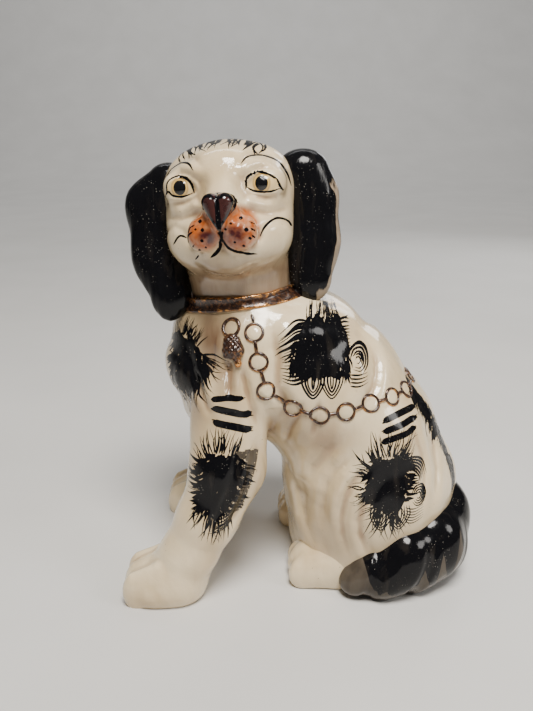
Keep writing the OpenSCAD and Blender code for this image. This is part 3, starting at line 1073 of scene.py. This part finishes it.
class Brush:
    """Enamel strokes on a clay surface: thin closed ribbons gathered into one mesh."""

    SUNK = 0.25

    def __init__(self, side, seed=0):
        self.side = side
        self.rng = np.random.default_rng(seed)
        self.spots, self.lifts, self.faces = [], [], []

    def stroke(self, route, width, lift=0.1, start=0.15, end=0.7):
        """start and end are the shares of the stroke over which it swells and tapers."""
        columns = 3 + 2 * int(width / 1.6)
        reach = np.linalg.norm(np.diff(np.array(route, float), axis=0), axis=1).sum()
        path = eased(route, int(np.clip(reach / 0.8, 5, 26)))
        t = np.linspace(0, 1, len(path))
        half = 0.62 * width * np.sqrt(ramp(t, -0.02, start) * ramp(1 - t, -0.03, end))
        way = unit(np.gradient(path, axis=0))
        across = np.stack([-way[:, 1], way[:, 0]], 1)
        sides = np.linspace(-1, 1, columns)
        rows, last = [], None
        for i, point in enumerate(path):
            row = [self.side.spot(*(point + across[i] * half[i] * k)) for k in sides]
            if None in row and not rows:
                continue
            if None in row or (last and (row[columns // 2] - last).length > 5):
                break
            last = row[columns // 2]
            rows.append(row)
        if len(rows) < 3:
            return
        top = 1.3 * lift * (1 - sides ** 2) - 0.03
        base = len(self.spots)
        size = len(rows) * columns
        self.spots += [tuple(s) for row in rows for s in row] * 2
        self.lifts += list(top) * len(rows) + [-self.SUNK] * size
        self.faces += plate(base, len(rows), columns)

    def fill(self, outline, count, length, width, heading, fan=0.0, lift=(0.06, 0.16), curl=0.0):
        """Strokes starting inside an outline of (v, left, right) rows."""
        level, *rims = np.array(sorted(outline), float).T
        for _ in range(count):
            v = self.rng.uniform(level[0], level[-1])
            left, right = (np.interp(v, level, rim) for rim in rims)
            place = self.rng.uniform(0, 1)
            angle = math.radians(heading + fan * (2 * place - 1) + self.rng.normal(0, 9))
            self.flick((left + place * (right - left), v), angle, self.rng.uniform(*length),
                       self.rng.uniform(*width), self.rng.uniform(*lift),
                       curl * (2 * place - 1) + self.rng.normal(0, 0.12))

    def ground(self, outline, heading=-90, step=1.25, width=3.2):
        """Broad strokes side by side that blacken an outline's middle."""
        level, *rims = np.array(sorted(outline), float).T
        for v in np.arange(level[0] + 1.5, level[-1] - 0.5, 2.6):
            left, right = (np.interp(v, level, rim) for rim in rims)
            for u in np.arange(left + 1.8, right - 1.4, step):
                angle = math.radians(heading + self.rng.normal(0, 16))
                self.flick((u + self.rng.normal(0, 0.3), v + self.rng.normal(0, 0.5)), angle,
                           self.rng.uniform(3, 4.6), width * self.rng.uniform(0.7, 1), 0.13,
                           self.rng.normal(0, 0.2))

    def flick(self, at, angle, reach, width, lift, bend):
        way = np.array([math.cos(angle), math.sin(angle)])
        aside = np.array([-way[1], way[0]])
        middle = at + way * reach * 0.5 + aside * bend * reach * 0.35
        self.stroke((at, middle, at + way * reach), width, lift)

    def burst(self, centre, size, arc, count, reach, width, pull=(0, 0), lift=(0.05, 0.12)):
        """Spikes outward from the rim of an ellipse, over an arc in degrees."""
        for _ in range(count):
            a = math.radians(self.rng.uniform(*arc))
            at = np.array(centre) + np.array(size) * (math.cos(a), math.sin(a))
            way = np.array([math.cos(a), math.sin(a)]) + np.array(pull)
            angle = math.atan2(way[1], way[0]) + self.rng.normal(0, 0.13)
            self.flick(at, angle, 1.75 * self.rng.uniform(*reach), self.rng.uniform(*width),
                       self.rng.uniform(*lift), self.rng.normal(0, 0.25))

    def dot(self, u, v, radius):
        self.stroke(((u - radius, v), (u, v + 0.1), (u + radius, v)), 2 * radius, 0.12, 0.5, 0.5)

    def done(self, name, material=ENAMEL):
        spots = np.array(self.spots, np.float32)
        points = spots + self.side.normals(spots) * np.array(self.lifts, np.float32)[:, None]
        solid(name, points, self.faces, material, field=self.side.field)


def plate(base, rows, columns):
    """Faces of a closed thin plate whose top and bottom are grids of points."""
    top = np.arange(rows * columns).reshape(rows, columns) + base
    low = top + rows * columns
    faces = []
    for grid, flip in ((top, False), (low, True)):
        quads = np.stack([grid[:-1, :-1], grid[1:, :-1], grid[1:, 1:], grid[:-1, 1:]], -1)
        quads = quads.reshape(-1, 4)
        faces += (quads[:, ::-1] if flip else quads).tolist()
    rim = np.concatenate([np.arange(columns), (np.arange(1, rows) + 1) * columns - 1,
                          (rows - 1) * columns + np.arange(columns - 2, -1, -1),
                          np.arange(rows - 2, 0, -1) * columns]) + base
    after = np.roll(rim, -1)
    faces += np.stack([rim, after, after + rows * columns, rim + rows * columns], 1).tolist()
    return faces


def solid(name, points, faces, material, nodes=(), gilt_and_glint=None, field=None):
    """A smooth closed piece from points in mm; gilt, -1 to 1, says where the copper shows golden, mostly
    as painted glint.
    """
    mesh = bpy.data.meshes.new(name)
    mesh.from_pydata(points, [], faces)
    if gilt_and_glint is not None:
        add_layer(mesh, "gilt_and_glint", gilt_and_glint)
    bm = bmesh.new()
    bm.from_mesh(mesh)
    for f in bm.faces:
        f.smooth = True
    bpy.data.meshes.remove(mesh)
    return piece(name, bm, (material,), nodes, field)


class Tubes:
    """Round relief on a clay surface: rings and short rods, gathered into one mesh."""

    SECTION = 10

    def __init__(self):
        self.points, self.faces, self.gilt_and_glint = [], [], []

    def sweep(self, centres, normals, radii, closed):
        if closed:
            way = np.roll(centres, -1, 0) - np.roll(centres, 1, 0)
        else:
            way = np.gradient(centres, axis=0)
        aside = unit(np.cross(way, normals))
        base, rows, n = len(self.points), len(centres), self.SECTION
        angle = 2 * math.pi * np.arange(n) / n
        ring = (np.cos(angle)[None, :, None] * aside[:, None]
                + np.sin(angle)[None, :, None] * normals[:, None])
        tube = centres[:, None] + ring * np.array(radii).reshape(-1, 1, 1)
        self.points += tube.reshape(-1, 3).tolist()
        # Painted glint: golden copper on the lower side of each tube.
        self.gilt_and_glint += (-(tube - centres[:, None])[:, :, 2] / np.max(radii) * 1.2 - 0.3).ravel().tolist()
        spans = rows if closed else rows - 1
        for i in range(spans):
            for j in range(n):
                a, b = i * n, (i + 1) % rows * n
                k = (j + 1) % n
                self.faces.append([base + a + j, base + b + j, base + b + k, base + a + k])
        if not closed:
            self.faces.append([base + j for j in range(n)][::-1])
            self.faces.append([base + (rows - 1) * n + j for j in range(n)])

    def ring(self, side, u, v, radius, thick, stretch=1.0, count=36, seat=0.1):
        angle = 2 * math.pi * np.arange(count) / count
        spots, normals = side.facing(u, v).track(
            [(radius * math.cos(a), radius * stretch * math.sin(a)) for a in angle])
        swell = thick / 2 * (1 + 0.12 * np.sin(3 * angle + u))
        self.sweep(spots + normals * seat, normals, swell, True)

    def rod(self, side, route, thick, seat=0.3):
        spots, normals = side.track(eased(route, 8))
        t = np.linspace(-1, 1, len(spots))
        radii = thick / 2 * np.sqrt(np.maximum(1 - 0.9 * t ** 6, 0.1))
        self.sweep(spots + normals * seat, normals, radii, False)

    def done(self, name, material, nodes):
        return solid(name, self.points, self.faces, material, nodes, self.gilt_and_glint)


flank = Side(BODY_TREE, body_field)
LINK = 3.7                               # centre radius of a round link
LINK_OVERLAP = 0.3                       # how far an edge-on link runs into a round one
links, joiners = Tubes(), Tubes()
for u, v in CHAIN:
    links.ring(flank, u, v, LINK, 1.3)
for here, after in zip(CHAIN, CHAIN[1:]):
    start, end = flank.track((here, after))[0]
    share = (LINK - LINK_OVERLAP) / np.linalg.norm(end - start)
    gap = np.array(after) - np.array(here)
    joiners.rod(flank, (here + gap * share, after - gap * share), 1.6)
joiners.rod(flank, ((-23, 128.8), (-23.4, 130.4), (-24, 131.6)), 1.3)
links.done("chain_round_links", LUSTRE, ("chain_links",))
joiners.done("chain_edge_links", LUSTRE, ("chain_joiners",))

hoop = Tubes()
hoop.ring(flank, -32.4, 126.6, 3.5, 1.5, 1.12, seat=0.4)
hoop.done("padlock_hoop", LUSTRE, ("padlock_ring",))

LOCK_AT = np.array(flank.spot(-31.7, 119), np.float32)
LOCK_OUT = flank.normals([tuple(LOCK_AT)])[0]
DROP_WAY = np.array(flank.spot(-29.4, 112.4), np.float32) + 0.6 * LOCK_OUT - LOCK_AT
LOCK_RIGHT = -np.cross((0, 0, 1), LOCK_OUT)
LOCK_RIGHT /= np.linalg.norm(LOCK_RIGHT)
LOCK_FRAME = np.stack([LOCK_RIGHT, np.cross(LOCK_RIGHT, -LOCK_OUT), LOCK_OUT], 1).astype(np.float32)


def lock_field(p):
    """A berry-shaped lock with a beaded face, a cap above and a drop below."""
    q = (p - LOCK_AT) @ LOCK_FRAME
    beads = np.sin(q[:, 0] * 2.6) * np.sin(q[:, 1] * 2.6 + 0.6)
    berry = forms(((-0.2, 1.2, 0.3), (5, 4.2, 3.3)), ((0.4, -2, 0.3), (3.9, 3.8, 2.9)))
    d = swept(q, *berry) - 0.2 * beads * ramp(q[:, 2], 0, 1.5)
    cap = forms(((-2.2, 4, 0.5), (1.8, 1, 1.9)), ((2, 4.2, 0.5), (1.8, 1, 1.9)))
    d = merge(d, swept(q, *cap), 0.6)
    drop = forms((LOCK_AT + DROP_WAY * 0.55, (1.1, 1.1, 1.2)), (LOCK_AT + DROP_WAY, (1.6, 1.6, 1.8)))
    return merge(d, swept(p, *drop), 0.8)


def lock_paint(p):
    # Painted glint: golden copper towards the lower side of the lock.
    return {"gilt_and_glint": -1.1 - 0.22 * (p[:, 2] - LOCK_AT[2]) + 0.1 * (p[:, 0] - LOCK_AT[0])}


piece("padlock_relief", clay_source(lock_field, LOCK_AT - 14, LOCK_AT + 14, 0.4),
      (LUSTRE,), ("padlock",), lock_field, lock_paint)


def neck_radius(angle, height):
    """Distance from the collar's axis to the clay at each angle, by halving."""
    near, far = np.full(len(angle), 12.0), np.full(len(angle), 42.0)
    for _ in range(16):
        middle = (near + far) / 2
        local = np.stack([middle * np.cos(angle), middle * np.sin(angle), height], 1)
        p = (COLLAR_C + local @ COLLAR_M.T).astype(np.float32)
        inside = np.minimum(head_field(p), body_field(p)) < 0
        near, far = np.where(inside, middle, near), np.where(inside, far, middle)
    return near


def strap():
    """The collar: a band with raised edges, hugging the neck and a little uneven."""
    profile = np.array(((-0.97, -0.9), (-1, 0.3), (-0.97, 1.0), (-0.84, 1.45), (-0.66, 1.35),
                        (-0.5, 1.05), (0, 0.95), (0.5, 1.05), (0.66, 1.35), (0.84, 1.45),
                        (0.97, 1.0), (1, 0.3), (0.97, -0.9)))
    angle = np.linspace(0, 2 * math.pi, 180, endpoint=False)
    half = COLLAR_H / 2 * (0.88 + 0.07 * np.sin(angle * 2 + 0.6) + 0.03 * np.sin(angle * 5))
    lift = 0.25 * np.sin(angle * 3 + 1)
    rings = []
    for level, proud in profile:
        height = half * level + lift
        under = neck_radius(angle, half * np.clip(level, -0.6, 0.6) + lift)
        out = under + proud + 0.08 * np.sin(angle * 11 + 2 * level)
        local = np.stack([out * np.cos(angle), out * np.sin(angle), height], 1)
        rings.append(COLLAR_C + local @ COLLAR_M.T)
    points = np.concatenate(rings)
    n, m = len(angle), len(profile)
    faces = [(i * n + j, i * n + (j + 1) % n, (i + 1) % m * n + (j + 1) % n, (i + 1) % m * n + j)
             for i in range(m) for j in range(n)]
    # Painted glint: golden copper along the top and bottom edges, varying around the neck.
    gilt_and_glint = np.repeat(2.4 * np.abs(profile[:, 0]) - 1.6, n) + 0.5 * np.tile(np.sin(angle * 4), m)
    solid("collar_strap", points, faces, LUSTRE, ("collar",), gilt_and_glint)


strap()


# Painted fur, in the (u, v) of its side; on the flank that is x and z in mm.

def patch_of_fur(side, seed, outline, fill, bursts):
    """A blackened outline of (v, left, right) rows, with strokes over it and spikes around it."""
    b = Brush(side, seed)
    b.ground(outline)
    b.fill(*fill)
    for burst in bursts:
        b.burst(*burst)
    return b


def shoulder_patch():
    b = Brush(flank, 11)
    outline = ((131, 0, 13), (124, -3, 17), (118, -5, 18), (112, -7, 18), (107, -5, 18), (104, 0, 15))
    b.ground(outline[:-1])
    b.fill(outline[:-2], 200, (5, 8), (0.9, 1.9), -92, 12, (0.08, 0.16))
    b.fill(((109, -7, -3), (122, -6, -2)), 30, (4, 7), (0.6, 1.1), -115, 14)
    b.fill(((108, 14, 18), (116, 16, 19)), 26, (4, 8), (0.6, 1.1), -85, 10)
    b.fill(((127, -1, 16), (130, 0, 14)), 34, (4, 7.5), (0.45, 0.9), 88, 10)
    for k in range(4):
        for middle, low in ((2.4, 96.8), (10.6, 96.4)):
            w = 0.7 + 1.25 * k + b.rng.normal(0, 0.12)
            b.stroke(((middle - w, 110), (middle - w * 1.05, 103), (middle, low + 4.2 - 1.4 * k),
                      (middle + w * 1.05, 103), (middle + w, 110)),
                     b.rng.uniform(0.6, 0.95), 0.12, 0.1, 0.12)
    for k in range(9):
        slip = b.rng.normal(0, 0.7)
        b.stroke(((0, 129 - 1.2 * k), (-6 + slip, 129 - 1.4 * k), (-13 + slip, 123.5 - 1.2 * k)),
                 b.rng.uniform(0.8, 1.7), 0.12, 0.2, 0.8)
    for k in range(10):
        slip = b.rng.normal(0, 1)
        b.stroke(((-1, 120 - 1.7 * k), (-6 + slip, 118.8 - 1.7 * k), (-11 + slip, 116.2 - 1.3 * k)),
                 b.rng.uniform(0.7, 1.5), 0.12, 0.2, 0.8)
    for k in range(12):
        wobble = b.rng.normal(0, 0.4)
        b.stroke(((12.5, 127.5 - 1.2 * k), (16, 128 - 1.2 * k + wobble), (19.4, 127.4 - 1.2 * k)),
                 0.95, 0.12, 0.2, 0.5)
    for k in range(6):
        r = 1.2 + 0.8 * k + b.rng.normal(0, 0.15)
        ends = np.linspace(150 + b.rng.normal(0, 25), -100 + b.rng.normal(0, 30), 6)
        b.stroke([(22.4 + r * math.cos(a), 111 + 1.2 * r * math.sin(a)) for a in np.radians(ends)],
                 b.rng.uniform(0.6, 1.1), 0.1, 0.2, 0.5)
    for k in range(4):
        b.stroke(((18.6, 105.6 - 1.5 * k), (22.4, 105.2 - 1.5 * k), (26.8, 105.8 - 1.4 * k)),
                 0.8, 0.1, 0.2, 0.5)
    b.done("shoulder_patch")


def hip_patch():
    outline = ((71, 31, 41), (66, 28, 45), (60, 26.5, 46), (54, 27, 45), (50, 29, 44), (47, 32, 42))
    b = patch_of_fur(flank, 23, outline,
                     (outline[:-1], 200, (3.5, 6.5), (0.9, 1.8), -75, 80, (0.08, 0.16)),
                     (((36, 58), (8.5, 12), (40, 150), 40, (4, 8.5), (0.5, 0.95), (0.05, 0.3)),
                      ((36, 58), (9, 12), (140, 250), 30, (2.5, 5.5), (0.4, 0.8), (-0.3, -0.1)),
                      ((36, 57), (8.5, 12), (235, 315), 34, (4, 9), (0.5, 0.95), (0, -0.5))))
    for k in range(6):
        b.stroke(((41, 66 - 0.8 * k), (47, 68.4 - 1.1 * k), (52.6 - 0.4 * k, 65 - 1.1 * k),
                  (54.8 - 0.9 * k, 59 - 0.5 * k)), 1.2, 0.12, 0.15, 0.8)
    for k in range(4):
        r = 1.1 + 0.8 * k
        b.stroke([(50.4 + r * math.cos(a), 51.5 + 1.3 * r * math.sin(a))
                  for a in np.radians((170, 120, 60, 0, -60, -110, -150))], 0.85, 0.1, 0.2, 0.4)
    for k in range(4):
        w = 0.7 + 1.15 * k
        for middle in (33.2, 41.6):
            b.stroke(((middle - w, 48), (middle - w * 1.1, 43), (middle, 40.4 - 1.3 * k),
                      (middle + w * 1.1, 43), (middle + w, 48)), 0.62, 0.12, 0.1, 0.2)
    for k in range(6):
        b.stroke(((44, 47 - 1.4 * k), (48, 45.8 - 1.4 * k), (53, 46.8 - 1.2 * k)), 0.65, 0.08, 0.2, 0.7)
    b.done("hip_patch")


def leg_patch():
    outline = ((75, -40, -30), (70, -45, -27), (64, -46.5, -27), (58, -46, -30), (52, -44, -34),
               (49, -42, -38))
    b = patch_of_fur(flank, 37, outline,
                     (outline, 220, (4, 8), (0.9, 1.8), -100, 70, (0.08, 0.2)),
                     (((-37, 64), (9, 11), (25, 155), 38, (3.5, 7), (0.45, 0.9), (0.05, 0.6)),
                      ((-38, 63), (8.5, 11), (150, 215), 22, (2.5, 5), (0.4, 0.8), (-0.3, 0)),
                      ((-39, 61), (7, 11), (215, 300), 40, (5, 10), (0.45, 0.95), (-0.1, -0.7))))
    for k in range(9):
        slip = b.rng.normal(0, 0.4)
        b.stroke(((-27 - 0.6 * k, 59 - 1.3 * k), (-30 - 0.6 * k, 51.5 - 1.2 * k + slip),
                  (-36 - 0.4 * k, 47 - 0.9 * k + slip), (-42.5 + slip, 45.5 - 0.9 * k)),
                 0.8, 0.14, 0.15, 0.7)
    b.done("foreleg_patch")


def chest_patch():
    side = Side(BODY_TREE, body_field, (-49.5, -26.7, 111.7), (0.6, 0.8, 0))
    outline = ((9.5, -14, -3), (5, -16, 1), (0, -17, 6), (-5, -16, 9), (-10, -13, 5), (-13, -11, -2))
    b = patch_of_fur(side, 41, outline,
                     (outline, 230, (4, 8), (0.9, 1.8), -95, 60, (0.08, 0.2)),
                     (((-6, -1), (9, 9), (35, 150), 40, (2.5, 5.2), (0.5, 0.95), (0.25, 0.7)),
                      ((-5, -1), (10, 10), (-60, 20), 34, (4, 9), (0.5, 1.0), (0.2, -0.6)),
                      ((-6, -2), (9, 10), (215, 300), 40, (4, 9), (0.5, 0.95), (0, -0.8)),
                      ((-7, -1), (9, 9), (150, 215), 16, (2, 4), (0.4, 0.8), (-0.2, 0))))
    b.done("chest_patch")


def back_stripe():
    side = Side(BODY_TREE, body_field, (60, -18, 75), (-0.6, 0.8, 0))
    b = Brush(side, 53)
    spine = np.array(((-9.5, 20), (-6.5, 12), (-1, 3), (5, -6), (8, -17), (8.5, -27)), float)
    for t in np.linspace(0, 1, 74):
        at = eased(spine, 101)[int(t * 100)]
        down = math.radians(b.rng.uniform(-118, -84))
        for _ in range(3):
            b.flick(at + b.rng.uniform(-1.4, 3.4, 2), down, b.rng.uniform(4, 9),
                    b.rng.uniform(0.9, 1.9), b.rng.uniform(0.06, 0.16), b.rng.normal(0, 0.2))
        if t < 0.9 and b.rng.uniform() < 0.6:
            b.flick(at, math.radians(b.rng.uniform(-165, -130)), b.rng.uniform(3, 6),
                    b.rng.uniform(0.4, 0.7), 0.07, 0.2)
    b.done("back_stripe")


def bars():
    b = Brush(flank, 61)
    for route, width in ((((-41, 97.6), (-34, 98.4), (-27.4, 98)), 2.3),
                         (((-40.4, 94.2), (-32, 92.4), (-24, 90.4)), 2.9),
                         (((-40.4, 88), (-32, 86.4), (-24, 84)), 2.9),
                         (((33.4, 85.2), (41, 87), (49.4, 87.6)), 2.4),
                         (((33.6, 81), (41, 82.6), (50, 83.8)), 2.5),
                         (((32.6, 76.8), (40, 78.4), (49.4, 79.8)), 2.5)):
        b.stroke(route, width, 0.16, 0.1, 0.12)
        for _ in range(5):
            shift = b.rng.uniform(-width / 3, width / 3)
            b.stroke([(x + b.rng.uniform(-1, 1), z + shift) for x, z in route], 0.9, 0.2, 0.1, 0.3)
    b.done("fur_bars")
    line = Brush(flank, 67)
    for shift in (-0.5, 0.1, 0.7):
        line.stroke(((41, 26.8 + shift), (49, 30.4 + shift), (57, 33.4 + shift), (64, 37 + shift)),
                    1.4, 0.1, 0.3, 0.3)
    line.done("tail_line")
    wash = Brush(flank, 71)
    wash.stroke(((-25.5, 76), (-27, 68), (-30.5, 57), (-35, 47)), 9.5, 0.06, 0.1, 0.12)
    wash.done("foreleg_wash", WASHED)


def face_lines():
    side = Side(HEAD_TREE, head_field, HEAD_C, HEAD_M @ (0, 1, 0), HEAD_M @ (0, 0, 1))
    b = Brush(side, 83)
    for route, width in (
            (((-23.4, 3.0), (-22, 7.6), (-17.5, 9.5), (-13.2, 7.6), (-11.4, 2.2)), 1.4),
            (((9.8, 2.3), (10.7, 6.7), (15.9, 9.2), (21.8, 6.5), (23.9, 2.4), (27, 0.5)), 1.4),
            (((-25, 1.7), (-22.6, 3.8), (-20.6, 2.0), (-16.6, 1.3), (-12.2, 2.4)), 0.85),
            (((10.2, 3.2), (12.5, 1.8), (16.5, 1.1), (20.2, 1.2), (23.6, 2.5)), 0.85),
            (((-26, 8.6), (-23.1, 13.6), (-18.1, 15.6), (-13.3, 14.3), (-10.9, 10.9)), 1.15),
            (((8.4, 12.2), (11.1, 15.6), (16, 16.8), (22, 15), (25.8, 10.2), (27.4, 5)), 1.1),
            (((-22.6, -17.6), (-19, -14.4), (-15.7, -15.4)), 0.95),
            (((27.6, -14.2), (25.6, -10.2), (21, -9.3), (16.6, -12.7), (14, -17.5)), 0.95),
            (((0.2, -2.6), (0.3, -10), (0.4, -18.8)), 2.0),
            (((0.2, -17), (-1.9, -21.8), (-5.4, -24.4)), 1.2),
            (((0.3, -17), (2.4, -21), (7.5, -23.2), (12.9, -23.6)), 1.1),
            (((-6.3, -6), (-5.8, -2.4), (-3.2, -1.2), (-0.6, -3)), 1.9),
            (((0.9, -3), (3.2, -1.2), (5.8, -2.4), (6.3, -6)), 1.9),
            (((-10.6, -14), (-13.4, -15.6), (-13.6, -19)), 0.9),
            (((-10, -11.4), (-12.4, -12.6), (-13.2, -15)), 0.7)):
        b.stroke(route, width, 0.14, 0.2, 0.3)
    for k in range(4):
        b.stroke(((11.4 + 0.3 * k, -11.4 - 2.6 * k), (13.2, -12.2 - 2.7 * k), (15.4, -12 - 2.6 * k)),
                 1.0, 0.12, 0.2, 0.6)
    for k in range(3):
        b.stroke(((-10.6, -19 - 1.9 * k), (-12.2, -20.4 - 1.8 * k), (-13, -22 - 1.2 * k)), 0.8, 0.1)
    for u, v, radius in ((-7.9, -10.3, 0.65), (-6.8, -13.9, 0.6), (-7.3, -18, 0.55),
                         (-9.7, -13.4, 0.4), (-8.8, -21.4, 0.45), (-6.1, -20.6, 0.35),
                         (8.2, -9.9, 0.6), (10.3, -14.7, 0.7), (11.4, -18, 0.5),
                         (4.5, -12.1, 0.4), (5.5, -19.3, 0.4), (8.8, -20.8, 0.45),
                         (2.5, -14.3, 0.35)):
        b.dot(u, v, 1.35 * radius)
    for k in range(48):
        u = -19 + 36 * (k + b.rng.uniform(0, 1)) / 48
        top = 27.6 - 0.014 * u * u
        way = math.radians(-90 + b.rng.normal(0, 22) - 0.8 * u)
        b.flick(np.array([u, top]), way, b.rng.uniform(4, 8.5), b.rng.uniform(0.8, 1.5), 0.12,
                b.rng.normal(0, 0.5))
    b.done("face_lines", LINE)


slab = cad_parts["base_slab"]
slab.data.materials.clear()
slab.data.materials.append(CLAY)
for paint in (shoulder_patch, hip_patch, leg_patch, chest_patch, back_stripe, bars, face_lines):
    paint()


# ---------------------------------------------------------------- stage

def area_light(name, at, toward, size, power, tint):
    light = bpy.data.lights.new(name, "AREA")
    light.shape = "ELLIPSE"
    light.size, light.size_y = size
    light.energy = power
    light.color = tint
    lamp = bpy.data.objects.new(name, light)
    lamp.location = at
    lamp.rotation_euler = (Vector(toward) - Vector(at)).to_track_quat("-Z", "Y").to_euler()
    bpy.context.scene.collection.objects.link(lamp)


def stage_material():
    n = Nodes("studio_sweep")
    color = n.mix(n.span(n.noise(9, 4), 0.3, 0.7), (0.60, 0.59, 0.57, 1), (0.64, 0.63, 0.61, 1))
    return n.finish(color, 0.7)


def studio_sweep(half=4.0, bend=1.2, wall=3.2):
    """A pale floor that curves up into a backdrop far behind the figure."""
    turns = np.linspace(0, math.pi / 2, 17)
    profile = [(-half, 0.0)] + [(wall - bend + bend * math.sin(a), bend - bend * math.cos(a))
                                for a in turns] + [(wall, 4.0)]
    points = [(x, y, z) for y, z in profile for x in (-2 * half, 2 * half)]
    faces = [(2 * i, 2 * i + 1, 2 * i + 3, 2 * i + 2) for i in range(len(profile) - 1)]
    mesh = bpy.data.meshes.new("studio_sweep")
    mesh.from_pydata(points, [], faces)
    mesh.shade_smooth()
    mesh.materials.append(stage_material())
    sweep = bpy.data.objects.new("studio_sweep", mesh)
    bpy.context.scene.collection.objects.link(sweep)


# Lights as (name, place, aim, size, watts, tint).
LIGHTS = (
    ("key", (0.05, -0.45, 1.05), (0, 0, 0.09), (0.45, 0.45), 21, (1, 0.96, 0.9)),
    ("side", (1.0, -0.5, 0.75), (0, 0, 0.1), (0.4, 0.4), 5, (1, 0.97, 0.93)),
    ("rim", (0.5, 0.9, 0.5), (0, 0, 0.1), (0.5, 0.5), 2, (1, 1, 1)),
    ("backdrop", (0, 1.5, 2.4), (0, 3.0, 0.7), (3, 1), 45, (1, 1, 1)),
)
SKY_GREY = (0.64, 0.64, 0.64, 1)
SKY_STRENGTH = 0.13
CAMERA_AT = (-0.0175, -0.3185, 0.207)
CAMERA_TILT = 72                         # degrees up from straight down
CAMERA_LENS = 35.4

studio_sweep()
for light in LIGHTS:
    area_light(*light)
world = bpy.data.worlds.new("studio")
bpy.context.scene.world = world
world.use_nodes = True
sky = world.node_tree.nodes["Background"]
sky.inputs["Color"].default_value = SKY_GREY
sky.inputs["Strength"].default_value = SKY_STRENGTH

camera = bpy.data.objects.new("photo_view", bpy.data.cameras.new("photo_view"))
camera.location = CAMERA_AT
camera.rotation_euler = (math.radians(CAMERA_TILT), 0, 0)
camera.data.lens = CAMERA_LENS
bpy.context.scene.collection.objects.link(camera)
bpy.context.scene.camera = camera
